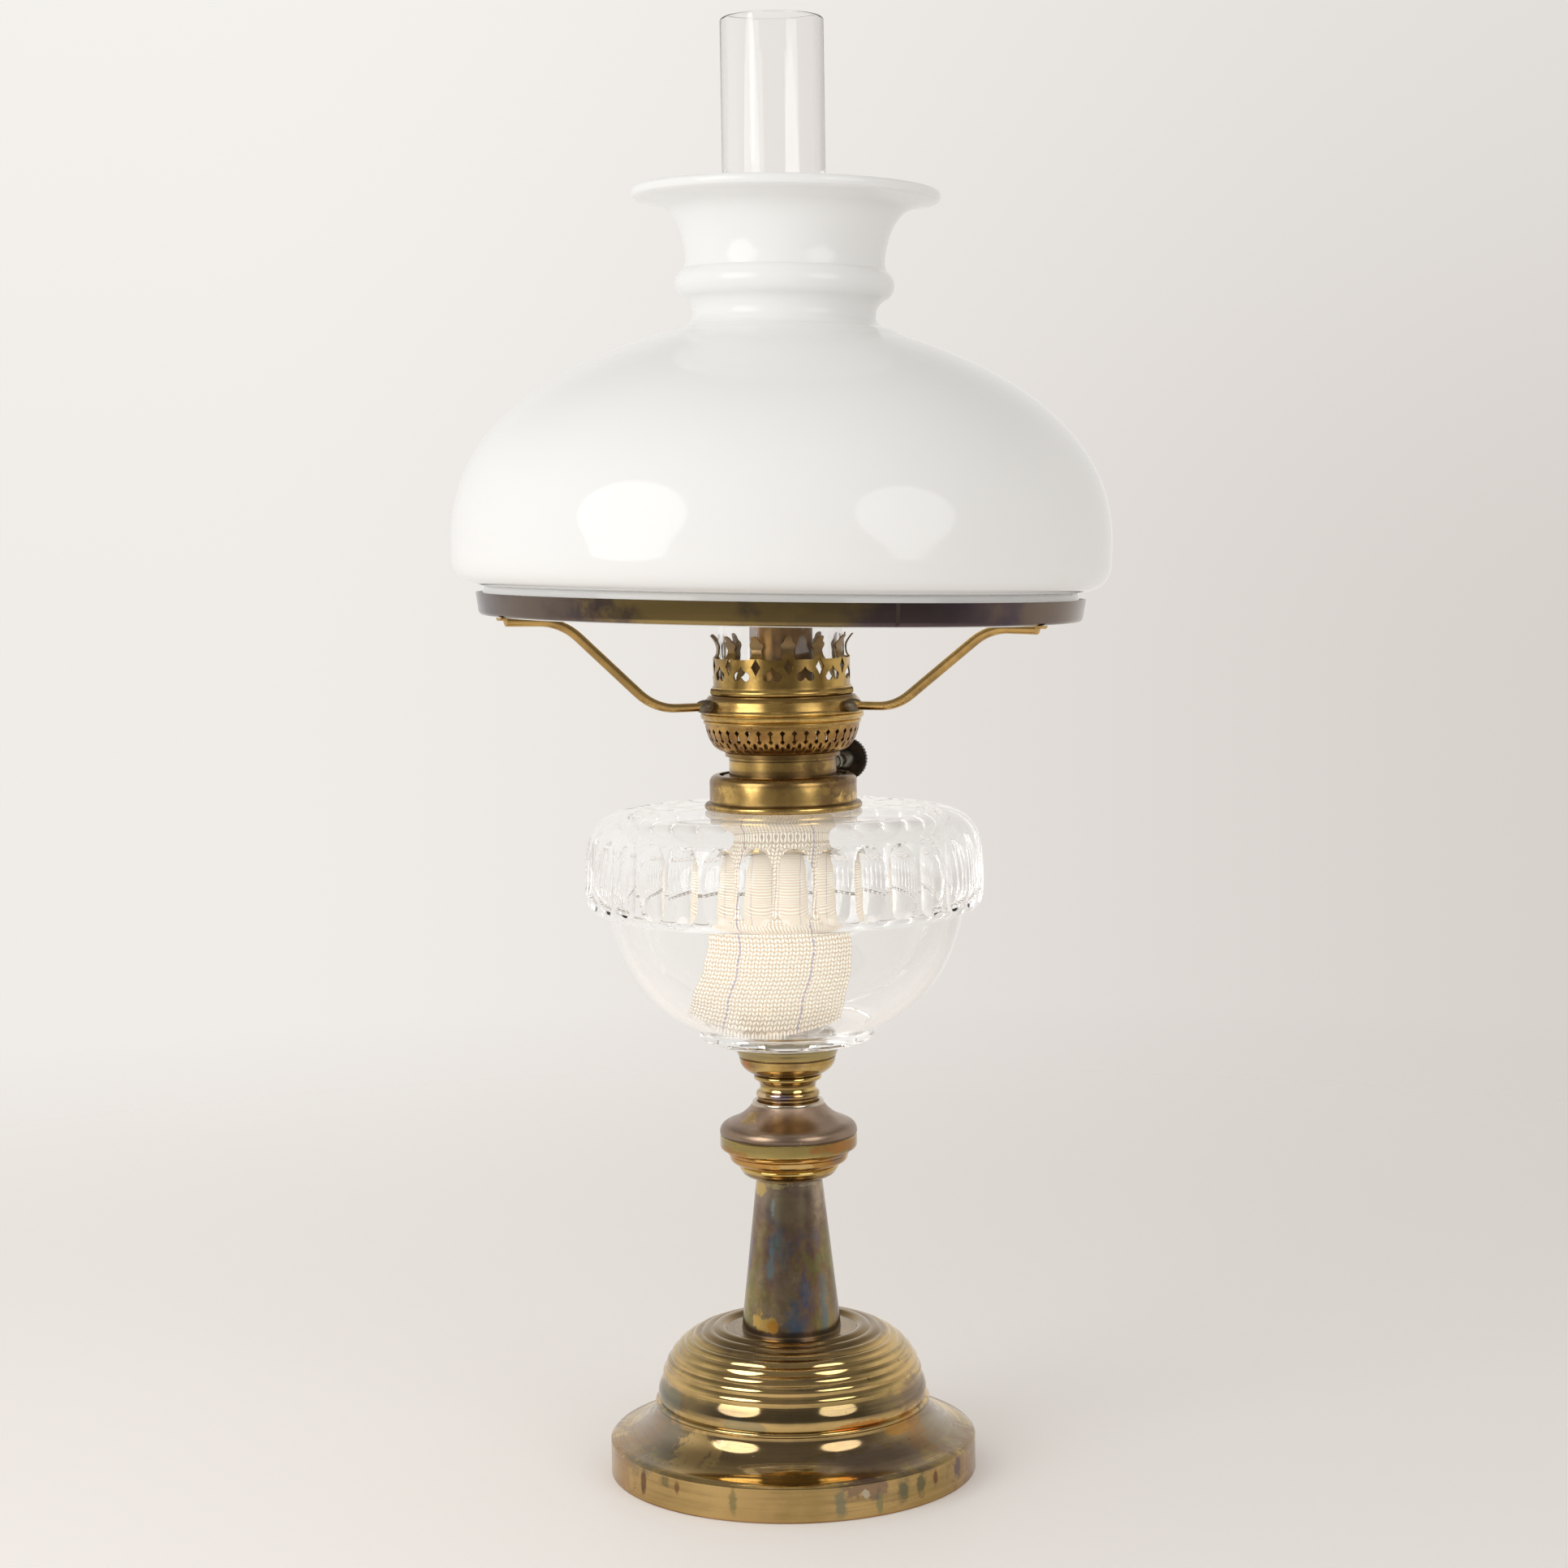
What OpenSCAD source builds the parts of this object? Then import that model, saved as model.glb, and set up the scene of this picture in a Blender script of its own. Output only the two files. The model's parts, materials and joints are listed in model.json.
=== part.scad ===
// Kerosene table lamp: spun brass foot and stem, cut glass font, round-wick burner
// with a pierced gallery, glass chimney, and an opal shade on a three-armed holder.
// Millimetres, +Z up, origin at the middle of the foot's underside.

/* [Foot] */
// Radius of the foot at the rim
foot_r = 73.6; // [68:0.2:80]
// Height of the upright rim
foot_rim_h = 14; // [12:0.5:18]
// Radius of the thin bead above the cove
foot_bead_r = 54.2; // [52:0.2:58]
// Height of the thin bead
foot_bead_z = 28; // [26:0.5:31]
// Radius of the smooth band at its top, where the ridges start
foot_band_r = 52; // [50:0.2:54]
// Height where the ridges start
foot_band_z = 38.3; // [36:0.1:41]
// Radius of the lip around the flat top
foot_lip_r = 27; // [25:0.2:30]
// Height of the flat top that carries the column
foot_h = 57; // [54:0.5:62]
// Number of ridges spun into the dome
foot_ridges = 8; // [5:1:10]
// Height of each ridge
foot_ridge_h = 0.7; // [0.3:0.1:1]
// Thickness of the spun brass sheet
brass_wall = 0.9; // [0.7:0.1:1.2]
// Thickness of the iron ballast plate
ballast_t = 7; // [5:0.5:8]

/* [Stem] */
// Radius of the column at its base
column_r0 = 20; // [18:0.2:23]
// Radius of the column at its top
column_r1 = 13.2; // [11:0.2:15]
// Height of the column
column_h = 61; // [45:1:90]
// Largest radius of the knop
knop_r = 27.4; // [25:0.2:31]
// Height of the knop's lower half
knop_lower_h = 18; // [15:0.5:22]
// Height of the knop's upper half
knop_upper_h = 15.5; // [13:0.5:19]
// Radius of the rolled mouth on the knop's upper half
knop_mouth_r = 14; // [13.5:0.1:15.5]
// Depth of the seat inside the rolled mouth
knop_seat_d = 2; // [1.5:0.1:3]
// Height of the turned neck above that seat
neck_h = 11; // [9.5:0.5:15]
// Waist radius of the neck
neck_waist_r = 10.6; // [9:0.1:11]
// Radius of the neck's bead and of its upper ring
neck_ring_r = 12.4; // [11.6:0.1:13]
// Radius of the cup's rim
cup_r = 20.2; // [18.5:0.1:23]
// Height of the cup
cup_h = 11.5; // [10.5:0.5:15]
// Radius of the tie rod
rod_r = 3; // [2.5:0.1:4]
// Height of a tie-rod nut
nut_h = 3.6; // [3:0.1:4]
// Width of a tie-rod nut across its corners
nut_w = 11; // [10:0.5:13]
// Thickness of the washer
washer_t = 1.2; // [0.8:0.1:1.5]

/* [Glass font] */
// Height of the font from its underside to its flat top
font_h = 95; // [88:1:110]
// Largest radius of the fluted band
font_r = 79.3; // [76:0.2:86]
// Radius of the bowl where the band starts
font_bowl_r = 71; // [68:0.2:72]
// Height of the band's lower edge above the underside
font_band_z = 53; // [51:0.2:58]
// Radius of the glass foot disc
font_disc_r = 35; // [32:0.5:38]
// Height of the glass foot disc
font_disc_h = 7.6; // [6.5:0.1:9]
// Wall of the glass
font_wall = 4.2; // [3:0.1:5]
// Outer radius of the glass neck inside the collar
font_neck_r = 26.5; // [26:0.1:27]
// Wall of the glass neck
font_neck_wall = 2.7; // [2:0.1:2.7]
// Number of flutes
flutes = 34; // [26:2:36]
// Depth of a flute
flute_d = 1.8; // [1:0.1:2.4]
// Width of the land left between flutes
flute_land = 2; // [1.2:0.1:3]
// Radius of the glass peg cemented in the cup
peg_r = 9; // [7:0.5:11]

/* [Collar] */
// Outer radius of the font collar
collar_r = 29.3; // [28.9:0.1:31]
// Height of the collar
collar_h = 14; // [13:0.5:18]
// Radius of the collar's foot bead
collar_bead_r = 31.4; // [30.8:0.1:33]
// Radius of the collar's mouth
collar_mouth_r = 25.4; // [25:0.1:26]
// Depth of the bayonet ring below the collar's top
bayonet_d = 2; // [1.6:0.1:3]
// Thickness of the bayonet ring
bayonet_t = 1.4; // [1:0.1:1.6]

/* [Burner] */
// Outer radius of the burner's neck
burner_r = 21.4; // [21:0.1:21.8]
// Height of the neck above the bayonet ring
burner_neck_h = 9; // [8.8:0.1:11]
// Height of the step ring that carries the basket
step_h = 2; // [1.6:0.1:3]
// Height of the pierced basket
basket_h = 11.2; // [10:0.2:14]
// Radius of the basket's top
basket_r = 30.6; // [30:0.1:32]
// Thickness of the pierced sheet
sheet_t = 0.6; // [0.5:0.1:0.8]
// Perforations in each row round the basket
basket_holes = 40; // [30:2:44]
// Radius of the shoulder flange
shoulder_r = 32.4; // [32:0.1:34]
// Height of the shoulder
shoulder_h = 4.2; // [3.8:0.1:6]
// Outer radius of the spigot that centres the shade holder
spigot_r = 27.6; // [27.3:0.1:28]
// Outer radius of the wick tube
tube_r = 12.5; // [12:0.1:13]
// Wall of the wick tube and of the draught tube
tube_wall = 0.5; // [0.4:0.1:0.6]
// Height of the wick tube's mouth above the gallery floor
tube_top_h = 35; // [28:1:36]
// Width of the annular space for the wick
wick_space = 1.7; // [1.6:0.1:2]

/* [Gallery] */
// Outer radius of the gallery band
gallery_r = 27.2; // [27:0.1:27.6]
// Height of the gallery band
gallery_h = 11.2; // [10.5:0.1:13]
// Height of the prongs above the band
prong_h = 9.2; // [8:0.2:11]
// Number of prongs, stars and hearts
prongs = 13; // [10:1:14]
// Radius that the prong tips flare to
prong_tip_r = 28.8; // [28.4:0.1:29.6]
// Height of the knurled ring below the band
knurl_h = 3.6; // [3:0.1:5]
// Radius of the knurled ring
knurl_r = 28.4; // [28.1:0.1:29]

/* [Wick drive] */
// Height of the spindle above the bayonet ring
spindle_z = 5.6; // [5.4:0.1:6]
// Distance of the spindle from the lamp's axis
spindle_off = 15.6; // [15.4:0.1:15.8]
// Radius of the spindle
spindle_r = 1.5; // [1.2:0.1:1.6]
// Radius of the star wheels
sprocket_r = 4.1; // [3.8:0.1:4.1]
// Teeth on each star wheel
sprocket_teeth = 10; // [8:1:12]
// Distance of the knob's inner face along the spindle
knob_s = 30; // [29.5:0.5:36]
// Radius of the knob
knob_r = 8.7; // [7.5:0.1:9]
// Thickness of the knob
knob_t = 3.4; // [2.5:0.1:5]

/* [Wick] */
// Flat width of the woven wick
wick_w = 63; // [56:1:65]
// Thickness of the wick
wick_t = 1.2; // [1:0.05:1.3]
// Travel of the wick
wick_travel = 8; // [4:0.5:8]

/* [Chimney] */
// Outer radius of the chimney's base
chimney_base_r = 25; // [24:0.1:25.2]
// Height of the chimney
chimney_h = 259; // [200:1:300]
// Height of the base up to the shoulder
chimney_base_h = 40; // [36:1:50]
// Outer radius at the pinch
chimney_pinch_r = 17.6; // [16:0.1:18.5]
// Outer radius of the tube
chimney_r = 20.3; // [18:0.1:24]
// Wall of the chimney glass
chimney_wall = 1.8; // [1.2:0.1:2.2]

/* [Shade] */
// Outer radius of the shade's fitter
fitter_r = 117.5; // [100:0.5:125]
// Largest outer radius of the shade
shade_r = 129.9; // [126:0.1:140]
// Height of the fitter below the body
fitter_h = 10.4; // [9.5:0.1:14]
// Height of the dome from the fitter to the waist
dome_h = 106.5; // [95:0.5:120]
// Outer radius of the waist
waist_r = 36; // [33:0.5:42]
// Height from the waist to the flared rim
crown_h = 47.5; // [44:0.5:60]
// Outer radius of the flared rim
crown_r = 60.6; // [56:0.2:68]
// Wall of the opal glass
shade_wall = 3; // [2:0.1:3.4]

/* [Shade holder] */
// Lean of the ring and shade in degrees, from arms bent in use
shade_lean = 1.6; // [0:0.1:2]
// How far the ring's top edge stands outside the shade's fitter
ring_stand = 2.7; // [2.6:0.1:6]
// Height of the ring
ring_h = 8.8; // [7:0.1:9.2]
// How far the ring's wall draws in towards its lower edge
ring_taper = 1.3; // [0.5:0.1:1.4]
// Thickness of the ring's sheet
ring_wall = 1; // [0.8:0.1:1.1]
// Width of the ledge that carries the shade
ledge_w = 7; // [5:0.5:9]
// Height of the ring's underside above the shoulder
ring_rise = 37.6; // [34:0.1:46]
// Height of the bell at the middle of the holder
bell_h = 7; // [6:0.1:9]
// Width of the half-round arm strip
arm_w = 4.4; // [3.5:0.1:5]
// Thickness of the arm strip
arm_t = 3.4; // [2.8:0.1:3.8]
// Bend radius of the arm's centre line
arm_bend_r = 24; // [14:1:25]

/* [Hidden] */
$fn = 64;
// Gap round a fixed piece in its seat, running gap of a turning piece, and open clearance
fit = 0.1;
run = 0.05;
gap = 0.3;

// Heights of the stack, from the foot upwards
column_z = foot_h;
knop_z = column_z + column_h;
crease_z = knop_z + knop_lower_h;
mouth_z = crease_z + knop_upper_h;
neck_z = mouth_z - knop_seat_d;
cup_z = neck_z + neck_h;
font_z = cup_z + cup_h;
font_top = font_z + font_h;
collar_top = font_top + collar_h;
bayonet_z = collar_top - bayonet_d - bayonet_t;
burner_z = bayonet_z + bayonet_t;
step_z = burner_z + burner_neck_h;
basket_z = step_z + step_h;
shoulder_z = basket_z + basket_h;
bell_z = shoulder_z + shoulder_h;
knurl_z = bell_z + bell_h;
band_z = knurl_z + knurl_h;
floor_t = 0.8;
chimney_z = band_z + floor_t;
ring_z = bell_z + ring_rise;
ledge_t = 1.2;
shade_z = ring_z + ledge_t;
dome_z = shade_z + fitter_h;
waist_z = dome_z + dome_h;
crown_z = waist_z + crown_h;

// Radii that follow from the pieces they fit
rod_hole_r = rod_r + fit;
tube_in_r = tube_r - tube_wall;
draught_r = tube_in_r - wick_space;
wick_r = (tube_in_r + draught_r) / 2;
burner_wall = 0.8;
neck_in_r = burner_r - burner_wall;
spigot_in_r = spigot_r - burner_wall;
glass_neck_in = font_neck_r - font_neck_wall;
prong_in_r = chimney_base_r + gap;
ring_r = fitter_r + ring_stand;
sleeve_r = spigot_in_r - run;
sleeve_wall = 0.8;
tube_z = burner_z + 1;
tube_top = chimney_z + tube_top_h;
deck_t = 1.2;
deck_z = basket_z - deck_t;

// Directions in plan: spindle, first flute, arms, first prong, middle of the wick
spindle_az = 69;
flute_az = -87.2;
arm_az = [206, 326, 86];
prong_az = -84;
wick_az = -85;

// Outlines: a curve with one control point, an arc, and a line moved sideways
function bezier(a, c, b, n = 8) =
    [for (i = [0:n]) let (t = i / n) (1 - t) * (1 - t) * a + 2 * t * (1 - t) * c + t * t * b];
function arc(c, r, a0, a1, n = 8) =
    [for (i = [0:n]) let (a = a0 + (a1 - a0) * i / n) c + r * [cos(a), sin(a)]];
function unit(v) = v / norm(v);
function left_of(v) = [-v[1], v[0]];
function side(p, i) =
    let (n = len(p) - 1)
    let (u = unit(p[min(i + 1, n)] - p[min(i, n - 1)]))
    let (v = unit(p[max(i, 1)] - p[max(i - 1, 0)]))
    left_of(u + v) / (1 + u * v);
function moved(p, d) = [for (i = [0:len(p) - 1]) p[i] + d * side(p, i)];
function back(p) = [for (i = [len(p) - 1:-1:0]) p[i]];
function ridged(p, count, h) =
    let (n = len(p) - 1)
    [for (i = [0:n]) p[i] - h * abs(sin(180 * count * i / n)) * unit(side(p, i))];

// A sheet spun to a line, its wall on the left of the line
module spun(line, wall) {
    rotate_extrude() polygon(concat(line, back(moved(line, wall))));
}

module ring(r_out, r_in, z0, z1) {
    translate([0, 0, z0]) difference() {
        cylinder(r = r_out, h = z1 - z0);
        translate([0, 0, -1]) cylinder(r = r_in, h = z1 - z0 + 2);
    }
}

// Foot and stem
module foot() {
    rim_round = 0.9;
    bead_h = 1.1;
    cove_start = [foot_r - rim_round, foot_rim_h];
    cove_end = [foot_bead_r + 0.8, foot_bead_z - bead_h];
    band_start = [foot_bead_r - 0.4, foot_bead_z + bead_h];
    band_end = [foot_band_r, foot_band_z];
    lip = [foot_lip_r, foot_h + 1];
    rim = [[foot_r, 0], [foot_r, foot_rim_h - rim_round]];
    cove = bezier(cove_start, [foot_bead_r + 3.4, foot_rim_h + 1.8], cove_end, 10);
    bead = arc([foot_bead_r, foot_bead_z], bead_h, -30, 60, 4);
    band = bezier(band_start, [foot_bead_r + 0.8, foot_bead_z + 5.5], band_end, 6);
    dome = bezier(band_end, [foot_lip_r + 20.5, foot_h - 1.5], lip, foot_ridges * 6);
    top = [[foot_lip_r - 1, foot_h], [rod_hole_r, foot_h]];
    outer = concat(rim, cove, bead, band, ridged(dome, foot_ridges, foot_ridge_h), top);
    inner_dome = bezier(band_end, [foot_lip_r + 20.5, foot_h - 1.5], [foot_lip_r, foot_h], 10);
    inner = moved(concat(rim, cove, [band_start], inner_dome, [[rod_hole_r, foot_h]]), brass_wall);
    color("#9a7b3f") rotate_extrude() polygon(concat(outer, back(inner)));
}

ballast_top = foot_rim_h - brass_wall - gap;
ballast_z = ballast_top - ballast_t;

module ballast_plate() {
    color("#3a3836") ring(foot_r - brass_wall - gap, rod_hole_r, ballast_z, ballast_top);
}

module rod_washer() {
    color("#7d7a72") ring(nut_w / 2 + 3, rod_hole_r, ballast_z - washer_t, ballast_z);
}

nut_low_z = ballast_z - washer_t - nut_h;
nut_high_z = cup_z + brass_wall;
rod_top = nut_high_z + nut_h + 0.8;

module nut(z) {
    translate([0, 0, z]) difference() {
        cylinder(d = nut_w, h = nut_h, $fn = 6);
        translate([0, 0, -1]) cylinder(r = rod_hole_r, h = nut_h + 2);
    }
}

module rod_nuts() {
    color("#8a8678") {
        nut(nut_low_z);
        nut(nut_high_z);
    }
}

module tie_rod() {
    color("#77736a") translate([0, 0, nut_low_z]) cylinder(r = rod_r, h = rod_top - nut_low_z);
}

module column() {
    wall = 1.2;
    outside = [[column_r0, column_z], [column_r1, knop_z], [rod_hole_r, knop_z]];
    inside = [[rod_hole_r, knop_z - wall], [column_r1 - wall, knop_z - wall], [column_r0 - wall, column_z]];
    color("#6d5f52") rotate_extrude() polygon(concat(outside, inside));
}

module knop_lower() {
    step = (knop_r - column_r1) / 4;
    rise = (knop_lower_h - 5) / 3;
    base = [[rod_hole_r, knop_z], [column_r1, knop_z], [column_r1 + 1.2, knop_z + 1.6]];
    rings = [for (k = [0:2])
        each arc([column_r1 + step * (k + 0.55), knop_z + 1.6 + rise * (k + 0.5)], rise * 0.52, -58, 38, 5)];
    band = bezier([knop_r - 1.8, crease_z - 4], [knop_r, crease_z - 3.2], [knop_r, crease_z], 4);
    inside = [[knop_r - 2.4, crease_z], [column_r1 - 1, knop_z + 3], [rod_hole_r, knop_z + 3]];
    color("#a98437") rotate_extrude() polygon(concat(base, rings, band, inside));
}

module knop_upper() {
    edge_h = 4.6;
    edge = [[knop_r, crease_z], [knop_r, crease_z + edge_h]];
    bell_start = [knop_r - 0.5, crease_z + edge_h + 0.8];
    bend = [knop_mouth_r + 4.5, crease_z + edge_h + 3];
    bell = concat(edge, bezier(bell_start, bend, [knop_mouth_r, mouth_z - 0.8], 10));
    lip = arc([knop_mouth_r - 0.9, mouth_z - 0.8], 0.9, 0, 180, 6);
    seat = [[knop_mouth_r - 1.8, neck_z], [rod_hole_r, neck_z], [rod_hole_r, neck_z - 1.2],
        [knop_mouth_r - 2.2, neck_z - 1.2]];
    wall = back(moved(concat(edge, bezier(bell_start, bend, [knop_mouth_r + 0.2, neck_z - 2.4], 8)), 1));
    inside = concat([for (p = wall) if (p[1] > crease_z + 0.4) p], [[knop_r - 2.4, crease_z]]);
    color("#6f5a44") rotate_extrude() polygon(concat(bell, lip, seat, inside));
}

module stem_neck() {
    bead_r = 1.6;
    bead_z = neck_z + knop_seat_d + 0.7;
    foot_line = [[rod_hole_r, neck_z], [knop_mouth_r - 1.8 - fit, neck_z]];
    bead = arc([neck_ring_r - bead_r - 0.2, bead_z], bead_r, -50, 70, 6);
    waist = bezier([neck_waist_r, bead_z + 1.8], [neck_waist_r + 0.2, bead_z + 3.6],
        [neck_ring_r - 0.6, cup_z - 2.6], 5);
    upper = arc([neck_ring_r - 1.1, cup_z - 1.3], 1.3, -60, 50, 5);
    top = [[neck_ring_r - 0.9, cup_z], [rod_hole_r, cup_z]];
    color("#b08a3c") rotate_extrude() polygon(concat(foot_line, bead, waist, upper, top));
}

module font_cup() {
    bowl = bezier([neck_ring_r - 0.7, cup_z], [cup_r - 2, cup_z + 1.8], [cup_r - 0.7, font_z - 2.6], 8);
    rim = [[cup_r, font_z - 1.8], [cup_r, font_z]];
    color("#b38d42") spun(concat([[rod_hole_r, cup_z]], bowl, rim), brass_wall);
}

peg_z = rod_top + 1;

module cup_cement() {
    hole_r = nut_w / 2 + 0.6;
    inside = back(moved(bezier([neck_ring_r - 0.7, cup_z], [cup_r - 2, cup_z + 1.8],
        [cup_r - 0.7, font_z - 2.6], 8), brass_wall + fit));
    profile = concat([[hole_r, nut_high_z + fit], [hole_r, peg_z - fit], [peg_r + fit, peg_z - fit],
        [peg_r + fit, font_z], [cup_r - brass_wall - 0.4, font_z]],
        [for (p = inside) if (p[1] > nut_high_z + fit) p]);
    color("#d9d2bd") rotate_extrude() polygon(profile);
}

// Glass font
function font_bowl(shrink, z0) =
    bezier([font_disc_r + 1 - 4 * shrink, z0], [font_bowl_r - 7 - 1.2 * shrink, font_z + 18 - shrink],
        [font_bowl_r - shrink, font_z + font_band_z], 14);

module font_outline() {
    band_top = font_z + font_h;
    band_low = font_z + font_band_z;
    band_mid = band_low + 9;
    peg = [[0, peg_z], [peg_r, peg_z], [peg_r, font_z], [cup_r - 1.4, font_z]];
    disc = concat(bezier([cup_r - 1.4, font_z], [font_disc_r - 3, font_z + 0.4],
        [font_disc_r, font_z + font_disc_h - 3.4], 6), [[font_disc_r, font_z + font_disc_h - 0.6]]);
    bowl = font_bowl(0, font_z + font_disc_h);
    under = bezier([font_bowl_r + 0.4, band_low + 0.3], [font_r - 0.4, band_low + 0.6], [font_r, band_mid], 6);
    crown = bezier([font_r, band_mid + 11], [font_r - 0.3, band_top], [font_r - 19, band_top - 0.3], 12);
    neck = [[font_neck_r, band_top], [font_neck_r, bayonet_z], [glass_neck_in, bayonet_z]];
    under_crown = bezier([glass_neck_in, band_top - 1], [glass_neck_in, band_top - font_wall - 0.4],
        [glass_neck_in + 5, band_top - font_wall - 0.4], 4);
    shoulder = bezier([font_r - 23, band_top - font_wall - 2], [font_r - 9.5, band_top - font_wall - 5],
        [font_r - 9.8, band_mid + 2], 8);
    inner = back(font_bowl(font_wall, font_z + font_disc_h + 2));
    floor_line = [[0, font_z + font_disc_h + 1.4]];
    polygon(concat(peg, disc, bowl, under, crown, neck, under_crown, shoulder, inner, floor_line));
}

// One cut flute: a round-ended groove ground into the band
module flute() {
    half = PI * font_r / flutes - flute_land / 2;
    cut_r = (half * half + flute_d * flute_d) / (2 * flute_d);
    low = font_z + font_band_z + 11.8;
    high = font_z + font_h - 10.6;
    lean = 2.5;
    translate([font_r - flute_d + cut_r, 0, low]) rotate([0, -lean, 0]) {
        cylinder(r = cut_r, h = high - low);
        sphere(r = cut_r);
        translate([0, 0, high - low]) sphere(r = cut_r);
    }
}

module font() {
    color("#dfe6e2", 0.45) difference() {
        rotate_extrude() font_outline();
        for (k = [0:flutes - 1]) rotate([0, 0, k * 360 / flutes + flute_az]) flute();
    }
}

module font_collar() {
    round_r = 3;
    bead = arc([collar_bead_r - 1.5, font_top + 1.5], 1.5, -90, 90, 8);
    body = [[collar_r, font_top + 3.2], [collar_r, collar_top - round_r]];
    shoulder = arc([collar_r - round_r, collar_top - round_r], round_r, 0, 90, 6);
    mouth = [[collar_mouth_r, collar_top], [collar_mouth_r, collar_top - brass_wall]];
    inside = [[collar_r - brass_wall - 1.6, collar_top - brass_wall],
        [collar_r - brass_wall, collar_top - bayonet_d + 0.2], [collar_r - brass_wall, font_top]];
    color("#8f7436") rotate_extrude() polygon(concat(bead, body, shoulder, mouth, inside));
}

module collar_cement() {
    color("#d9d2bd") ring(collar_r - brass_wall - fit, font_neck_r + fit, font_top, bayonet_z);
}

lug_r = burner_r + 1.7;
lug_half = 15;
bayonet_turn = 45;

module sector(r, half, z0, z1) {
    translate([0, 0, z0]) rotate([0, 0, -half]) rotate_extrude(angle = 2 * half) square([r, z1 - z0]);
}

module bayonet_ring() {
    color("#8a7040") difference() {
        ring(collar_r - brass_wall - fit, burner_r + gap, bayonet_z, burner_z);
        for (a = [0, 180]) rotate([0, 0, a + 45 + bayonet_turn])
            sector(lug_r + gap, lug_half + 2, bayonet_z - 1, burner_z + 1);
    }
}

// Burner body
module along_spindle() {
    rotate([0, 0, spindle_az - 90])
        translate([spindle_off, 0, burner_z + spindle_z]) rotate([-90, 0, 0]) children();
}

module burner_neck() {
    lug_top = bayonet_z - gap;
    lug_low = lug_top - 1.8;
    seat = 1.4;
    outline = [[neck_in_r, lug_low], [burner_r, lug_low], [burner_r, burner_z],
        [collar_mouth_r - 1.6, burner_z], [collar_mouth_r - 1.6, burner_z + seat],
        [burner_r, burner_z + seat], [burner_r, step_z], [burner_r + 1.5, step_z + 0.3],
        [burner_r + 1.5, basket_z - 0.3], [burner_r + 1.2, basket_z], [neck_in_r + 1, basket_z],
        [neck_in_r + 1, deck_z], [neck_in_r, deck_z]];
    color("#8d7038") {
        difference() {
            union() {
                rotate_extrude() polygon(outline);
                for (a = [45, 225]) rotate([0, 0, a]) difference() {
                    sector(lug_r, lug_half, lug_low, lug_top);
                    translate([0, 0, lug_low - 1]) cylinder(r = burner_r - 0.3, h = 4);
                }
            }
            along_spindle() cylinder(r = spindle_r + gap, h = knob_s);
        }
    }
}

module burner_deck() {
    color("#85693a") ring(neck_in_r + 1 - fit, tube_r + fit, deck_z, basket_z);
}

function basket_line() =
    concat(bezier([burner_r + 1, basket_z], [basket_r - 2, basket_z + 0.4], [basket_r, shoulder_z - 1], 8),
        [[basket_r, shoulder_z]]);

// A cutter that looks along +X, drawn in the plane of width and height
module pierce(r0, r1) {
    translate([r0, 0, 0]) rotate([90, 0, 90]) linear_extrude(r1 - r0) children();
}

module diamond(w, h) {
    polygon([[w / 2, 0], [0, h / 2], [-w / 2, 0], [0, -h / 2]]);
}

module basket_slot() {
    translate([0, 3.4]) diamond(2.3, 2.5);
    diamond(2, 2.2);
    translate([-0.35, 0.4]) square([0.7, 2.6]);
}

module basket() {
    slot_z = basket_z + 5.3;
    pitch = 360 / basket_holes;
    color("#a5853f") difference() {
        spun(basket_line(), sheet_t);
        for (k = [0:basket_holes - 1]) rotate([0, 0, k * pitch - 90]) {
            translate([0, 0, slot_z]) pierce(basket_r - 4, basket_r + 2) basket_slot();
            rotate([0, 0, pitch / 2]) translate([basket_r - 2.2, 0, basket_z + 3.7]) rotate([0, 60, 0])
                cylinder(r = 0.75, h = 4, center = true);
            translate([basket_r - 3.9, 0, basket_z + 1.7]) rotate([0, 40, 0])
                linear_extrude(4, center = true) diamond(1.9, 1.6);
        }
    }
}

module burner_shoulder() {
    flange_t = 2.2;
    skirt_in = basket_r - sheet_t - 0.4;
    outline = [[skirt_in, shoulder_z], [basket_r + 0.3, shoulder_z], [basket_r + 0.8, shoulder_z + 0.6],
        [basket_r + 0.8, shoulder_z + 1.2], [basket_r + 0.4, shoulder_z + 1.6],
        [shoulder_r - 0.5, bell_z - flange_t], [shoulder_r, bell_z - 1.4], [shoulder_r, bell_z - 0.4],
        [shoulder_r - 0.4, bell_z], [spigot_r, bell_z], [spigot_r, knurl_z], [spigot_in_r, knurl_z],
        [spigot_in_r, bell_z - flange_t], [skirt_in, bell_z - flange_t]];
    color("#a07f3a") rotate_extrude() polygon(outline);
}

// Wick tube, with windows for the star wheels and a slot for the air duct
duct_w = 4.4;
duct_h = 18;
duct_z = basket_z + 3;

module duct_block(w, h, r0, r1) {
    rotate([0, 0, wick_az + 180]) translate([r0, -w / 2, duct_z]) cube([r1 - r0, w, h]);
}

module wick_tube() {
    window_h = 2 * sprocket_r + 2 * gap;
    window_w = 2 * (cheek_s - cheek_t / 2 - gap) - 1;
    color("#7c6238") difference() {
        ring(tube_r, tube_in_r, tube_z, tube_top);
        rotate([0, 0, spindle_az - 90])
            translate([tube_in_r - sprocket_r, -window_w / 2, burner_z + spindle_z - window_h / 2])
                cube([2 * sprocket_r, window_w, window_h]);
        translate([0, 0, -fit]) duct_block(duct_w + 2 * fit, duct_h + 2 * fit, tube_in_r - 2, tube_r + 2);
    }
}

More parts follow.
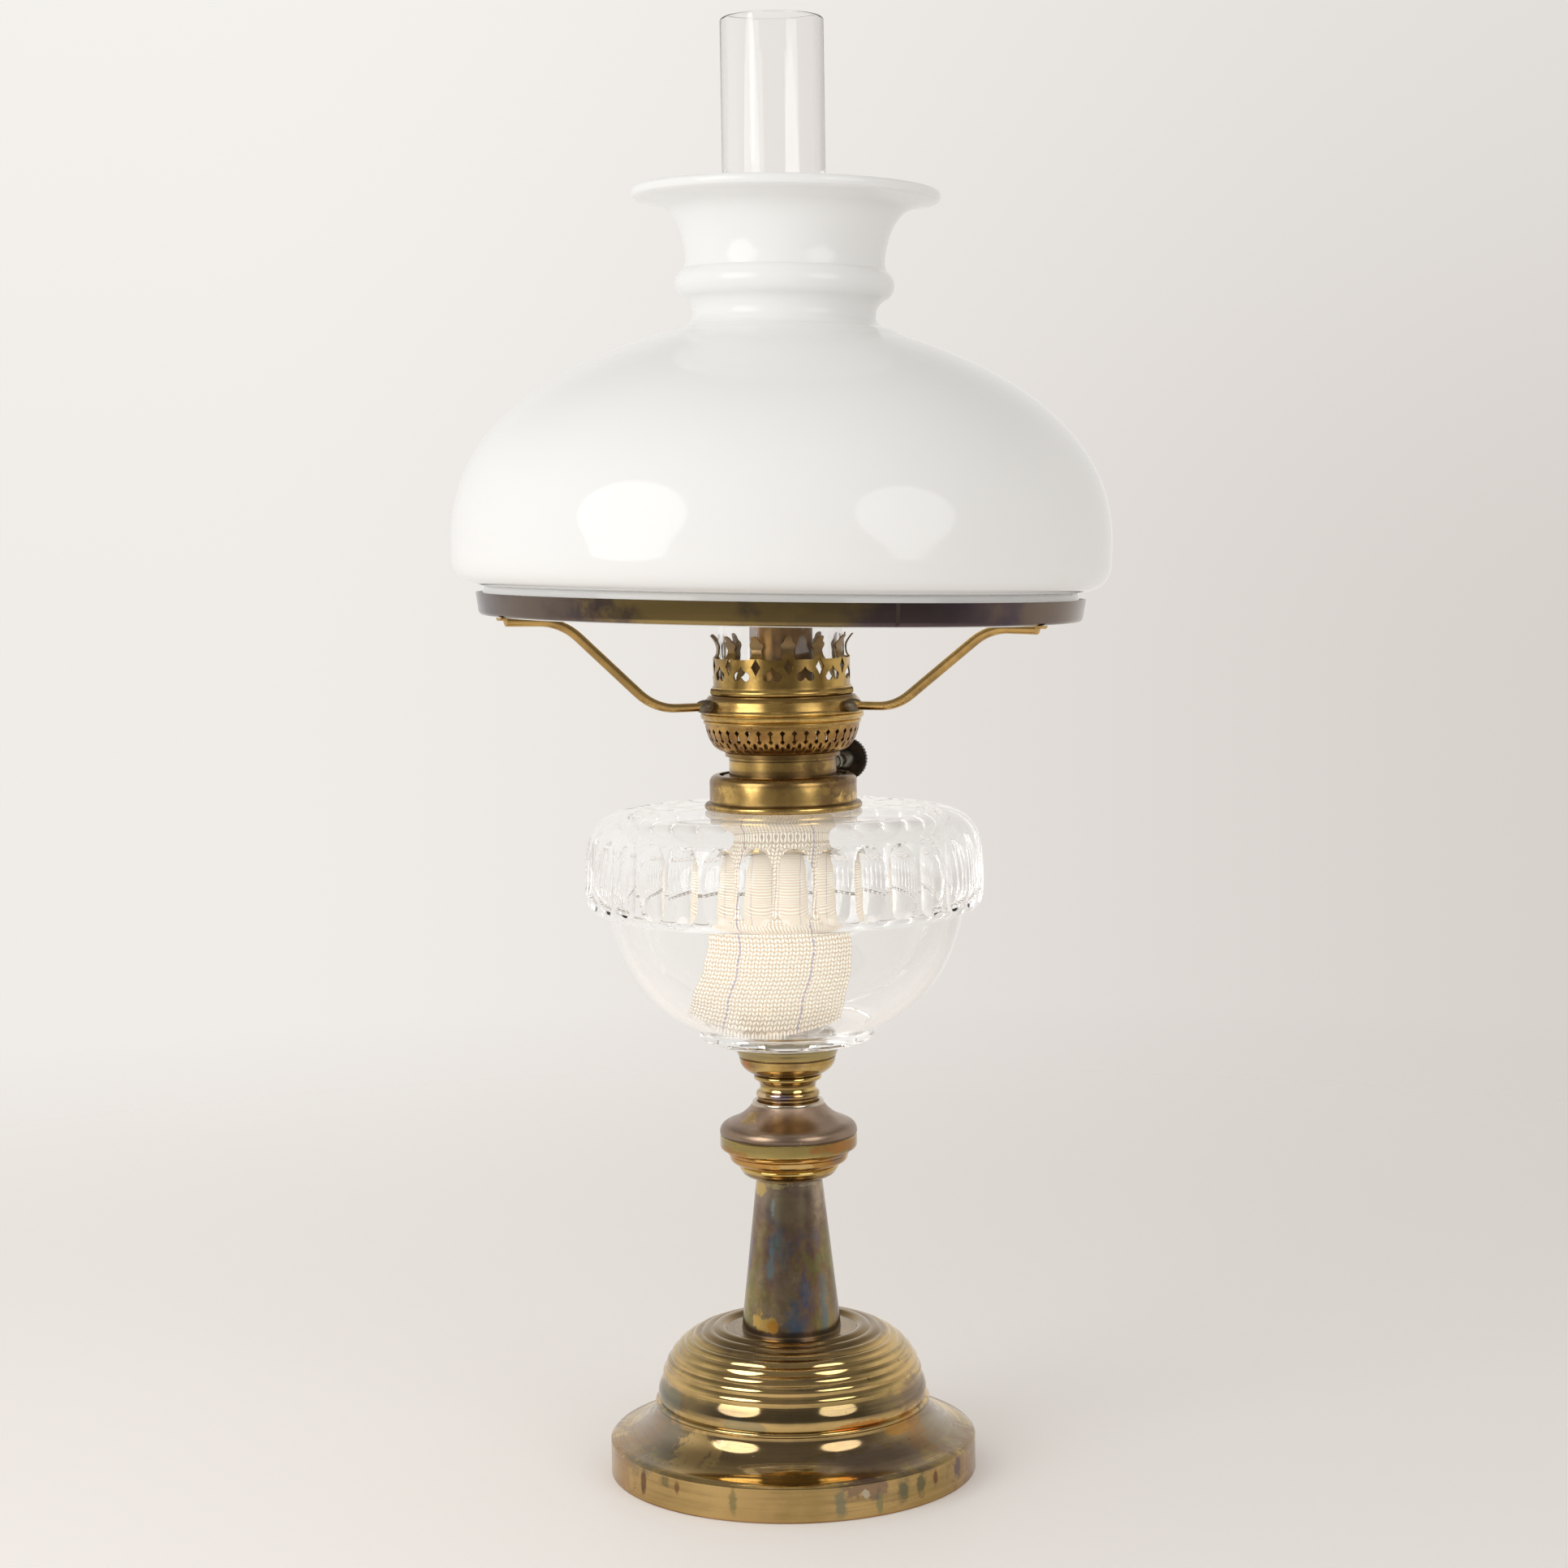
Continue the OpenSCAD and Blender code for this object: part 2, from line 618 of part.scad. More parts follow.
module draught_tube() {
    color("#7c6238") difference() {
        union() {
            translate([0, 0, duct_z]) cylinder(r = draught_r, h = tube_top - duct_z);
            intersection() {
                duct_block(duct_w, duct_h, 2, tube_r + 2);
                translate([0, 0, duct_z]) cylinder(r = tube_r, h = duct_h);
            }
        }
        translate([0, 0, duct_z + tube_wall]) cylinder(r = draught_r - tube_wall, h = tube_top - duct_z);
        translate([0, 0, tube_wall])
            duct_block(duct_w - 2 * tube_wall, duct_h - 2 * tube_wall, 0, tube_r + 2);
    }
}

// Wick drive: spindle, star wheels, bearings and knob
cheek_s = 6.5;
cheek_t = 1.2;
sprocket_s = 3.4;
sprocket_t = 1.2;
gland_end = 18;
hub_s = knob_s - 4.5;

module spindle() {
    start = -cheek_s - cheek_t / 2 - 0.6;
    end = knob_s + knob_t + 0.6;
    color("#8b8271") along_spindle() translate([0, 0, start]) cylinder(r = spindle_r, h = end - start);
}

// A disc whose edge steps in and out between points
module toothed(r, teeth, depth) {
    polygon([for (i = [0:2 * teeth - 1])
        let (a = 180 * i / teeth)
        (r - (i % 2) * depth) * [cos(a), sin(a)]]);
}

module wick_sprockets() {
    color("#8a7a52") for (s = [-sprocket_s, sprocket_s])
        along_spindle() translate([0, 0, s - sprocket_t / 2]) linear_extrude(sprocket_t) difference() {
            toothed(sprocket_r, sprocket_teeth, 1.1);
            circle(r = spindle_r + run);
        }
}

module spindle_bracket() {
    drop = spindle_r + 2;
    low = burner_z + spindle_z - drop;
    color("#84683a") for (s = [-cheek_s, cheek_s]) difference() {
        rotate([0, 0, spindle_az - 90]) translate([spindle_off - 2.8, s - cheek_t / 2, low])
            cube([5.6, cheek_t, deck_z - low]);
        along_spindle() translate([0, 0, s - 2]) cylinder(r = spindle_r + run, h = 4);
    }
}

module spindle_gland() {
    color("#9a8a66") difference() {
        along_spindle() translate([0, 0, 11]) {
            cylinder(r = 2.9, h = gland_end - 11);
            translate([0, 0, gland_end - 13.4]) cylinder(r = 3.3, h = 2.4);
        }
        translate([0, 0, burner_z]) cylinder(r = burner_r + fit, h = step_z - burner_z + 1);
        along_spindle() cylinder(r = spindle_r + run, h = 30);
    }
}

module knob_hub() {
    bore = spindle_r + run;
    color("#8f8876") along_spindle() rotate_extrude()
        polygon([[bore, hub_s], [2.2, hub_s], [3.6, knob_s - 1.2], [3.8, knob_s], [bore, knob_s]]);
}

module knob() {
    grips = 40;
    edge = 0.8;
    color("#2a211b") along_spindle() difference() {
        union() {
            translate([0, 0, knob_s + edge]) linear_extrude(knob_t - 2 * edge) toothed(knob_r, grips, 0.4);
            translate([0, 0, knob_s]) cylinder(r = knob_r - edge, h = knob_t);
        }
        translate([0, 0, knob_s - 1]) cylinder(r = spindle_r + run, h = knob_t + 2);
    }
}

module knob_rivet() {
    color("#8f8876") along_spindle() translate([0, 0, knob_s + knob_t]) difference() {
        cylinder(r1 = 3, r2 = 2, h = 1.2);
        translate([0, 0, -1]) cylinder(r = spindle_r + run, h = 1.8);
    }
}

// Wick: a flat woven strip, rolled in the tube, opening and leaning to one side in the font
wick_top = tube_top - 1;
wick_free = tube_z - wick_travel - 6;
wick_foot = font_z + font_disc_h + 3.8;
corner_lift = 5.5;

// Radius of the roll and shift to the side, by the share of the way down below the tube
function wick_roll(u) = lookup(u, [[0, wick_r], [0.1, wick_r + 6], [0.3, wick_r + 13], [0.56, wick_r + 20],
    [0.76, wick_r + 35], [0.94, wick_r + 58], [1, wick_r + 62]]);
function wick_shift(u) = lookup(u, [[0, 0], [0.3, 2.5], [0.56, 3.6], [0.68, 2.2], [0.76, 3.4], [1, 9.4]]);
function wick_point(t, s, d) =
    let (z = wick_top + (wick_foot - wick_top) * t)
    let (u = max(0, (wick_free - z) / (wick_free - wick_foot)))
    let (roll = wick_roll(u))
    let (a = wick_w * s / roll * 180 / PI)
    let (across = (roll + d) * sin(a) - wick_shift(u))
    let (out = wick_r - roll + (roll + d) * cos(a))
    let (lift = corner_lift * max(0, u - 0.7) / 0.3 * 4 * s * s)
    [out * cos(wick_az) - across * sin(wick_az), out * sin(wick_az) + across * cos(wick_az), z + lift];

module wick() {
    rows = 30;
    cols = 16;
    points = [for (d = [-wick_t / 2, wick_t / 2], j = [0:rows], i = [0:cols])
        wick_point(j / rows, i / cols - 0.5, d)];
    layer = (rows + 1) * (cols + 1);
    function at(d, j, i) = d * layer + j * (cols + 1) + i;
    function quad(a, b, c, e) = [[a, c, b], [a, e, c]];
    sheet = [for (j = [0:rows - 1], i = [0:cols - 1])
        each concat(quad(at(0, j, i), at(0, j, i + 1), at(0, j + 1, i + 1), at(0, j + 1, i)),
            quad(at(1, j, i), at(1, j + 1, i), at(1, j + 1, i + 1), at(1, j, i + 1)))];
    ends = [for (i = [0:cols - 1])
        each concat(quad(at(0, 0, i), at(1, 0, i), at(1, 0, i + 1), at(0, 0, i + 1)),
            quad(at(0, rows, i), at(0, rows, i + 1), at(1, rows, i + 1), at(1, rows, i)))];
    edges = [for (j = [0:rows - 1])
        each concat(quad(at(0, j, 0), at(0, j + 1, 0), at(1, j + 1, 0), at(1, j, 0)),
            quad(at(0, j, cols), at(1, j, cols), at(1, j + 1, cols), at(0, j + 1, cols)))];
    color("#efe6d2") polyhedron(points, concat(sheet, ends, edges));
}

// Chimney gallery
module gallery_ring() {
    outline = concat([[sleeve_r - sleeve_wall, knurl_z], [knurl_r - 0.9, knurl_z]],
        arc([knurl_r - 1.3, knurl_z + 1.5], 1.3, -60, 75, 6),
        [[gallery_r + 0.4, band_z - 0.6], [gallery_r + 0.4, band_z], [sleeve_r - sleeve_wall, band_z]]);
    color("#a4833c") rotate_extrude() polygon(outline);
}

// Sleeve under the ring, which screws into the spigot
module gallery_sleeve() {
    color("#8a6e36") ring(sleeve_r, sleeve_r - sleeve_wall, bell_z + 1, knurl_z);
}

module gallery_floor() {
    holes = 20;
    color("#7c6238") difference() {
        ring(gallery_r - sheet_t - fit, tube_r + 1.5, band_z, chimney_z);
        for (k = [0:holes - 1]) rotate([0, 0, k * 360 / holes])
            translate([(tube_r + chimney_base_r) / 2, 0, band_z - 1]) cylinder(r = 1.9, h = 4);
    }
}

module star_hole() {
    w = 4.1;
    h = 7.2;
    polygon([for (i = [0:15]) let (a = i * 22.5) [w / 2 * pow(abs(cos(a)), 2.2) * sign(cos(a)),
        h / 2 * pow(abs(sin(a)), 2.2) * sign(sin(a))]]);
}

// Heart with its point up and its two lobes at the bottom
module heart_hole() {
    half = concat([[0, -0.4]], arc([2, 0], 1.8, 215, 390, 8), bezier([3, 1.5], [1, 2], [0, 4], 3));
    polygon(concat(half, [for (i = [len(half) - 2:-1:1]) [-half[i][0], half[i][1]]]));
}

module prong_outline() {
    root_w = 6.4;
    waist_w = 3.9;
    half = concat([[root_w / 2, -2], [waist_w / 2 + 0.4, 1.2], [waist_w / 2, 3.4]],
        arc([1.6, 5.4], 1.3, -50, 70, 5), bezier([1.6, prong_h - 2.2], [1.5, prong_h], [0, prong_h], 4));
    polygon(concat(half, [for (p = back(half)) if (p[0] > 0) [-p[0], p[1]]]));
}

module gallery_coronet() {
    valley_z = band_z + gallery_h;
    tip_z = valley_z + prong_h;
    waist = [prong_in_r + sheet_t, valley_z + 3.4];
    line = concat([[gallery_r, band_z]],
        bezier([gallery_r, valley_z + 0.3], [prong_in_r + sheet_t, valley_z + 1.4], waist, 3),
        bezier(waist + [0, 0.6], [prong_in_r + sheet_t, valley_z + 6], [prong_tip_r, tip_z], 4));
    color("#a88740") difference() {
        intersection() {
            spun(line, sheet_t);
            union() {
                translate([0, 0, band_z - 1]) cylinder(r = gallery_r + 4, h = gallery_h + 1);
                for (k = [0:prongs - 1]) rotate([0, 0, prong_az + k * 360 / prongs])
                    translate([0, 0, valley_z]) pierce(prong_in_r - 4, prong_tip_r + 3) prong_outline();
            }
        }
        for (k = [0:prongs - 1]) rotate([0, 0, prong_az + k * 360 / prongs]) {
            translate([0, 0, band_z + 8.3]) pierce(gallery_r - 4, gallery_r + 2) star_hole();
            rotate([0, 0, 180 / prongs]) translate([0, 0, band_z + 4.6])
                pierce(gallery_r - 4, gallery_r + 2) heart_hole();
        }
    }
}

// Chimney
module chimney() {
    shoulder_top = chimney_z + chimney_base_h;
    pinch_z = shoulder_top + 14;
    tube_start = pinch_z + 26;
    top = chimney_z + chimney_h;
    line = concat([[chimney_base_r, chimney_z]],
        bezier([chimney_base_r, shoulder_top], [chimney_base_r, shoulder_top + 9],
            [chimney_pinch_r + 1.2, pinch_z - 3], 6),
        bezier([chimney_pinch_r, pinch_z], [chimney_pinch_r, pinch_z + 8], [chimney_r, tube_start], 6),
        [[chimney_r, top]]);
    color("#e6ecea", 0.35) spun(line, chimney_wall);
}

// The ring and the shade lean together about the middle of the ring's underside
module leaned() {
    translate([0, 0, ring_z]) rotate([0, shade_lean, 0]) translate([0, 0, -ring_z]) children();
}
function leaned_z(r, az) = ring_z - r * cos(az) * tan(shade_lean);
function leaned_slope(az) = -atan(cos(az) * tan(shade_lean));

// Opal shade
module shade() {
    groove = 0.4;
    bulge_r = 6.2;
    bulge_z = waist_z + 12;
    line = concat([[fitter_r, shade_z], [fitter_r, dome_z - 1.2], [fitter_r - groove, dome_z - 0.4]],
        bezier([fitter_r, dome_z], [shade_r + 0.4, dome_z + 0.6], [shade_r, dome_z + 13], 8),
        bezier([shade_r, dome_z + 16], [shade_r + 2, waist_z - 33], [waist_r + 10, waist_z - 7], 16),
        bezier([waist_r + 7, waist_z - 5.4], [waist_r, waist_z - 4], [waist_r, waist_z], 5),
        bezier([waist_r + 0.2, waist_z + 2], [waist_r + 0.8, waist_z + 4.4], [waist_r + 3, waist_z + 6], 3),
        arc([waist_r + 1, bulge_z], bulge_r, -62, 62, 8),
        bezier([waist_r + 3.2, waist_z + 21], [waist_r + 4, waist_z + 33], [waist_r + 9.5, crown_z - 8.2], 8),
        bezier([waist_r + 10.3, crown_z - 7.4], [waist_r + 13, crown_z - 4.8], [crown_r - 2.5, crown_z - 3.4], 6),
        [[crown_r - 0.6, crown_z - 2.6], [crown_r, crown_z - 1.6], [crown_r + 0.1, crown_z - 0.4]]);
    color("#f1f1ea") leaned() spun(line, shade_wall);
}

// Shade holder: ring with a ledge, three arms, and the bell that turns on the burner
module shade_ring() {
    low_r = ring_r - ring_taper;
    outer = concat([[fitter_r - ledge_w, ring_z]],
        bezier([low_r - 2, ring_z], [low_r, ring_z], [low_r + 0.2, ring_z + 1.8], 5),
        [[ring_r, ring_z + ring_h]]);
    seat_r = max(fitter_r + gap, low_r - ring_wall + 0.2);
    inner = [[ring_r - ring_wall, ring_z + ring_h], [seat_r, ring_z + ledge_t],
        [fitter_r - ledge_w, ring_z + ledge_t]];
    color("#6a5348") leaned() rotate_extrude() polygon(concat(outer, inner));
}

bell_lip = 1.4;
bell_top_r = spigot_r + 1.6;

module tripod_base() {
    top = knurl_z - gap;
    lip = arc([shoulder_r - 0.5, bell_z + bell_lip / 2], bell_lip / 2, -90, 60, 5);
    wall = [[shoulder_r - 0.8, bell_z + bell_lip + 0.4], [shoulder_r - 1.5, top - 2]];
    crown = bezier([shoulder_r - 1.6, top - 1.6], [bell_top_r + 0.6, top - 0.9], [bell_top_r, top], 5);
    inside = [[spigot_r + run, top], [spigot_r + run, top - 0.9], [bell_top_r - 0.4, top - 1],
        [shoulder_r - 2.4, top - 2.4], [shoulder_r - 1.8, bell_z]];
    color("#a28038") rotate_extrude() polygon(concat(lip, wall, crown, inside));
}

// Arm strip: flat on top, round underneath, drawn across the strip
arm_in = shoulder_r - 0.6;
arm_flat_in = 46;
arm_flat_out = fitter_r - 14.5;
arm_end = fitter_r - 1;
arm_low = bell_z + bell_lip + arm_t / 2 + 0.2;
tongue_t = 1.2;
tongue_l = 2.4;

function arm_outline(grow = 0) =
    let (w = arm_w / 2 + grow)
    let (top = arm_t / 2 + grow)
    let (deep = arm_t - 1 + grow)
    concat([[w, top]], [for (a = [0:-22.5:-180]) [w * cos(a), top - 1 - grow + deep * sin(a)]], [[-w, top]]);

// Rows of the arm: distance, height, slope, and the share of the thickness that is left
function arm_rows(az) =
    let (seat = arm_t / 2 + run + arm_w / 2 * abs(sin(az)) * tan(shade_lean))
    let (span = arm_flat_out - arm_flat_in)
    let (high = leaned_z(arm_flat_out, az) - seat)
    let (drop = high - arm_low - 2 * arm_bend_r)
    let (reach = sqrt(span * span + drop * drop))
    let (slope = asin(2 * arm_bend_r / reach) + atan2(drop, span))
    let (r = arm_bend_r)
    let (n = 8)
    let (end = leaned_slope(az))
    concat([[arm_in, arm_low, 0, 1]],
        [for (i = [0:n]) let (a = slope * i / n)
            [arm_flat_in + r * sin(a), arm_low + r * (1 - cos(a)), a, 1]],
        [for (i = [0:n - 1]) let (a = slope * (1 - i / n))
            [arm_flat_out - r * sin(a), high - r * (1 - cos(a)), a, 1]],
        [for (row = [[arm_flat_out, 1], [arm_end - 0.6, 1], [arm_end, tongue_t / arm_t],
            [arm_end + tongue_l, tongue_t / arm_t]])
            [row[0], leaned_z(row[0], az) - seat, end, row[1]]]);

module arm(az) {
    rows = arm_rows(az);
    outline = arm_outline();
    m = len(outline);
    last = len(rows) - 1;
    points = [for (row = rows, p = outline)
        let (n = arm_t / 2 - (arm_t / 2 - p[1]) * row[3])
        [row[0] - n * sin(row[2]), p[0], row[1] + n * cos(row[2])]];
    skin = [for (j = [0:last - 1], i = [0:m - 1])
        let (k = (i + 1) % m)
        each [[j * m + i, j * m + k, (j + 1) * m + k], [j * m + i, (j + 1) * m + k, (j + 1) * m + i]]];
    caps = [for (i = [1:m - 2]) each [[0, i + 1, i], [last * m, last * m + i, last * m + i + 1]]];
    color("#8c6f38") rotate([0, 0, az]) polyhedron(points, concat(skin, caps));
}

module arm_left() { arm(arm_az[0]); }
module arm_right() { arm(arm_az[1]); }
module arm_back() { arm(arm_az[2]); }

module arm_solder() {
    lump_r = 3.2;
    lump_off = 0.6;
    bite = 0.7;
    color("#5f5a52") for (a = arm_az) difference() {
        rotate([0, 0, a]) translate([arm_in + lump_off, 0, arm_low + lump_off]) sphere(r = lump_r);
        translate([0, 0, bell_z]) cylinder(r = shoulder_r - bite, h = bell_h);
        translate([0, 0, bell_z - bell_h]) cylinder(r = 2 * shoulder_r, h = bell_h + bell_lip + bite - run);
        rotate([0, 0, a]) translate([0, 0, arm_low]) rotate([90, 0, 90])
            linear_extrude(arm_flat_in) polygon(arm_outline(run));
    }
}

foot();
ballast_plate();
rod_washer();
rod_nuts();
tie_rod();
column();
knop_lower();
knop_upper();
stem_neck();
font_cup();
cup_cement();
font();
font_collar();
collar_cement();
bayonet_ring();
burner_neck();
burner_deck();
basket();
burner_shoulder();
wick_tube();
draught_tube();
spindle_bracket();
spindle_gland();
spindle();
wick_sprockets();
knob_hub();
knob();
knob_rivet();
wick();
gallery_ring();
gallery_sleeve();
gallery_floor();
gallery_coronet();
chimney();
shade();
shade_ring();
tripod_base();
arm_left();
arm_right();
arm_back();
arm_solder();
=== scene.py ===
# %% [markdown]
# # A kerosene table lamp
# The lamp is brass, glass and cotton: a spun foot and stem, a cut glass font, a round-wick burner, a
# clear chimney and an opal shade on a ring. The construction arrives finished from CAD as a fixed frame,
# at its real size in metres. This lesson gives every piece its surface: smooth spun metal under years of
# tarnish, ground glass, a woven wick. First the frame is loaded.

# %% Load the frame
import json
import math

import bpy
from mathutils import Matrix, Vector


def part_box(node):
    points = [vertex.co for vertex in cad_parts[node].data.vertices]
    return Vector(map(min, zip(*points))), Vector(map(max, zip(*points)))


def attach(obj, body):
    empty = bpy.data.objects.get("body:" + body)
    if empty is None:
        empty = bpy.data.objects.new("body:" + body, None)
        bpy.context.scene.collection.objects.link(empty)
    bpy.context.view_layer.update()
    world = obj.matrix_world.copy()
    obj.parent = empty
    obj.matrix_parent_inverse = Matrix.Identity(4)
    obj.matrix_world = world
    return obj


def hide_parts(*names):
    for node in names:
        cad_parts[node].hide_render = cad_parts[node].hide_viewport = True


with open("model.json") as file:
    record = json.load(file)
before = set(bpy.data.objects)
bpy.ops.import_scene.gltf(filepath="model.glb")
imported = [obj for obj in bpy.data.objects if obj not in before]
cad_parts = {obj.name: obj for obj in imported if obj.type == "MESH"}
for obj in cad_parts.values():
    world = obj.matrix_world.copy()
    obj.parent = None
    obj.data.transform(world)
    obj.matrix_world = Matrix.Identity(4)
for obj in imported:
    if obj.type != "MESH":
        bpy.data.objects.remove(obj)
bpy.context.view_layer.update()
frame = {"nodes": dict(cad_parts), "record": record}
MM = 0.001
scene = bpy.context.scene
scene.view_settings.view_transform = "Standard"

# %% [markdown]
# ## The camera
# The camera stands a little over a metre away, just above the middle of the lamp, and is tipped down a
# few degrees. A long lens keeps the foot and the chimney in proportion. The camera could be placed by
# eye, but a few measured numbers repeat it exactly: distance, height, tilt down, and a trace of roll.

# %% Camera
CAMERA_ASIDE = 0.0003
CAMERA_DISTANCE = 1.175
CAMERA_HEIGHT = 0.377
CAMERA_TILT = math.radians(4.88)
CAMERA_ROLL = math.radians(0.88)
CAMERA_LENS = 68.05

bpy.ops.object.camera_add(location=(CAMERA_ASIDE, -CAMERA_DISTANCE, CAMERA_HEIGHT))
camera = bpy.context.object
turn = Matrix.Rotation(math.pi / 2 - CAMERA_TILT, 3, "X") @ Matrix.Rotation(-CAMERA_ROLL, 3, "Z")
camera.rotation_euler = turn.to_euler()
camera.data.lens = CAMERA_LENS
scene.camera = camera
print("camera at", tuple(camera.location))

# %% [markdown]
# ## Short words for node graphs
# Every finish below is a node graph. Written out in full, a graph hides its idea behind sockets, so a
# small class gives the few nodes that we use short names: noise, ramp, mix, level. A value may be a
# number, a colour by its six hex digits, or another node's socket.

# %% Node graphs
def tint(code):
    """A linear colour from the usual six hex digits."""
    parts = [int(code[i:i + 2], 16) / 255 for i in (1, 3, 5)]
    linear = [p / 12.92 if p < 0.04045 else ((p + 0.055) / 1.055) ** 2.4 for p in parts]
    return (*linear, 1.0)


class Graph:
    """The node tree of one finish or of the world."""

    def __init__(self, owner):
        owner.use_nodes = True
        self.owner = owner
        self.tree = owner.node_tree
        self.surface = self.tree.nodes.get("Principled BSDF")
        self.colour = None

    def feed(self, socket, value):
        """Sets a socket to a number or a colour, or links it to another node's socket."""
        if isinstance(value, bpy.types.NodeSocket):
            self.tree.links.new(value, socket)
        else:
            socket.default_value = tint(value) if isinstance(value, str) else value

    def give(self, name, value):
        """Feeds one of the shader's own sockets."""
        self.feed(self.surface.inputs[name], value)

    def add(self, kind, inputs=None, output=0, **choices):
        """Adds one node and returns one of its outputs."""
        node = self.tree.nodes.new(kind)
        for name, value in choices.items():
            setattr(node, name, value)
        for key, value in (inputs or {}).items():
            self.feed(node.inputs[key], value)
        return node.outputs[output]

    def math(self, operation, a, b=0.0):
        return self.add("ShaderNodeMath", {0: a, 1: b}, operation=operation)

    def plus(self, a, b):
        return self.math("ADD", a, b)

    def minus(self, a, b):
        return self.math("SUBTRACT", a, b)

    def times(self, a, b):
        return self.math("MULTIPLY", a, b)

    def off(self, value, middle):
        """How far a value lies from a middle, on either side."""
        return self.math("ABSOLUTE", self.minus(value, middle))

    def length(self, vector):
        return self.add("ShaderNodeVectorMath", {0: vector}, "Value", operation="LENGTH")

    def mix(self, share, a, b):
        return self.add("ShaderNodeMix", {0: share, 6: a, 7: b}, 2, data_type="RGBA")

    def blend(self, share, a, b):
        return self.add("ShaderNodeMix", {0: share, 2: a, 3: b}, data_type="FLOAT")

    def level(self, value, low, high):
        """Runs smoothly from 0 at low to 1 at high."""
        inputs = {0: value, 1: low, 2: high}
        return self.add("ShaderNodeMapRange", inputs, interpolation_type="SMOOTHSTEP")

    def noise(self, vector, scale, detail=3.0, rough=0.5):
        inputs = {"Vector": vector, "Scale": scale, "Detail": detail, "Roughness": rough}
        return self.add("ShaderNodeTexNoise", inputs)

    def ramp(self, value, *stops):
        """Colours by value: each stop is a place from 0 to 1 and a colour."""
        output = self.add("ShaderNodeValToRGB", {0: value})
        elements = output.node.color_ramp.elements
        while len(elements) < len(stops):
            elements.new(0.5)
        for element, (place, colour) in zip(elements, stops):
            element.position = place
            element.color = tint(colour)
        return output

    def paint(self, share, colour):
        """Lays a colour over the finish, by a share from 0 to 1."""
        self.colour = colour if self.colour is None else self.mix(share, self.colour, colour)
        self.give("Base Color", self.colour)

    def split(self, vector):
        return [self.add("ShaderNodeSeparateXYZ", {0: vector}, i) for i in range(3)]

    def join(self, x, y, z):
        return self.add("ShaderNodeCombineXYZ", {0: x, 1: y, 2: z})


print("tint of mid grey:", [round(x, 3) for x in tint("#808080")])

# %% [markdown]
# ## The studio
# Polished metal only looks like metal when it has something to reflect. The lamp stands on pale paper
# that sweeps up behind it, two round soft lights stand to the left and right of the camera, and the room
# behind the camera and above is dim. So metal meets a world that is pale behind and dark in front, while
# the camera, and whatever is seen through glass, meet the paper. Dull surfaces are lit evenly from all
# round, as by a white room. Light has to find its way along the inside of thick glass, so it may bounce
# more often than usual.

# %% World
# The paper is painted darker to the right and lower down: painted shade on the backdrop.
PAPER_LOW_LEFT = "#f0ece7"
PAPER_LOW_RIGHT = "#d7d1cc"
PAPER_HIGH_LEFT = "#f5f2ee"
PAPER_HIGH_RIGHT = "#e3e0db"
ROOM_FRONT = (0.228, 0.217, 0.206, 1.0)
ROOM_BACK = (0.88, 0.86, 0.83, 1.0)
ROOM_TOP = (0.25, 0.24, 0.23, 1.0)
FILL_LEFT = (0.80, 0.78, 0.76, 1.0)
FILL_RIGHT = (0.50, 0.48, 0.46, 1.0)
GLASS_BOUNCES = 32
GLOSS_BOUNCES = 24
scene.cycles.max_bounces = GLASS_BOUNCES
scene.cycles.glossy_bounces = GLOSS_BOUNCES
scene.cycles.transmission_bounces = GLASS_BOUNCES

scene.world = bpy.data.worlds.new("studio")
world = Graph(scene.world)
across, along, up = world.split(world.add("ShaderNodeTexCoord"))
room = world.mix(world.level(along, -0.6, 0.2), ROOM_FRONT, ROOM_BACK)
room = world.mix(world.level(up, 0.3, 0.8), room, ROOM_TOP)
fill = world.mix(world.level(across, -0.8, 0.8), FILL_LEFT, FILL_RIGHT)
room = world.mix(world.add("ShaderNodeLightPath", output="Is Diffuse Ray"), room, fill)
rightward = world.level(across, -0.2, 0.3)
low_paper = world.mix(rightward, PAPER_LOW_LEFT, PAPER_LOW_RIGHT)
high_paper = world.mix(rightward, PAPER_HIGH_LEFT, PAPER_HIGH_RIGHT)
paper = world.mix(world.level(up, -0.05, 0.22), low_paper, high_paper)
camera_ray = world.add("ShaderNodeLightPath", output="Is Camera Ray")
glass_depth = world.add("ShaderNodeLightPath", output="Transmission Depth")
seen = world.math("MAXIMUM", camera_ray, world.math("GREATER_THAN", glass_depth, 0.5))
world.feed(world.tree.nodes["Background"].inputs["Color"], world.mix(seen, room, paper))
print("world has", len(world.tree.nodes), "nodes")

# %% [markdown]
# ### Paper floor
# The floor is a disc of the same paper, just under the foot. It takes the lamp's shadow, glows a little
# as painted light, more on the left than on the right, so that it is as pale as the paper behind, and fades
# out with distance, so no edge shows.

# %% Floor
FLOOR_RADIUS = 3.0
FLOOR_DROP = 0.0002
FLOOR_FADE_START = 0.3
FLOOR_FADE_END = 1.2
FLOOR_GLOW_LEFT = 0.17
FLOOR_GLOW_RIGHT = 0.08
bpy.ops.object.select_all(action="DESELECT")
bpy.ops.mesh.primitive_circle_add(
    vertices=96, radius=FLOOR_RADIUS, fill_type="NGON", location=(0, 0, -FLOOR_DROP))
floor = bpy.context.object
floor.name = "floor"
paper_floor = Graph(bpy.data.materials.new("paper_floor"))
paper_floor.give("Base Color", "#efebe7")
paper_floor.give("Emission Color", "#fff8f2")
paper_floor.give("Roughness", 0.6)
place = paper_floor.add("ShaderNodeTexCoord", output="Object")
# Painted light: the floor glows more on the left than on the right.
leftward = paper_floor.level(paper_floor.split(place)[0], 0.35, -0.35)
paper_floor.give("Emission Strength", paper_floor.blend(leftward, FLOOR_GLOW_RIGHT, FLOOR_GLOW_LEFT))
distance = paper_floor.length(place)
paper_floor.give("Alpha", paper_floor.level(distance, FLOOR_FADE_END, FLOOR_FADE_START))
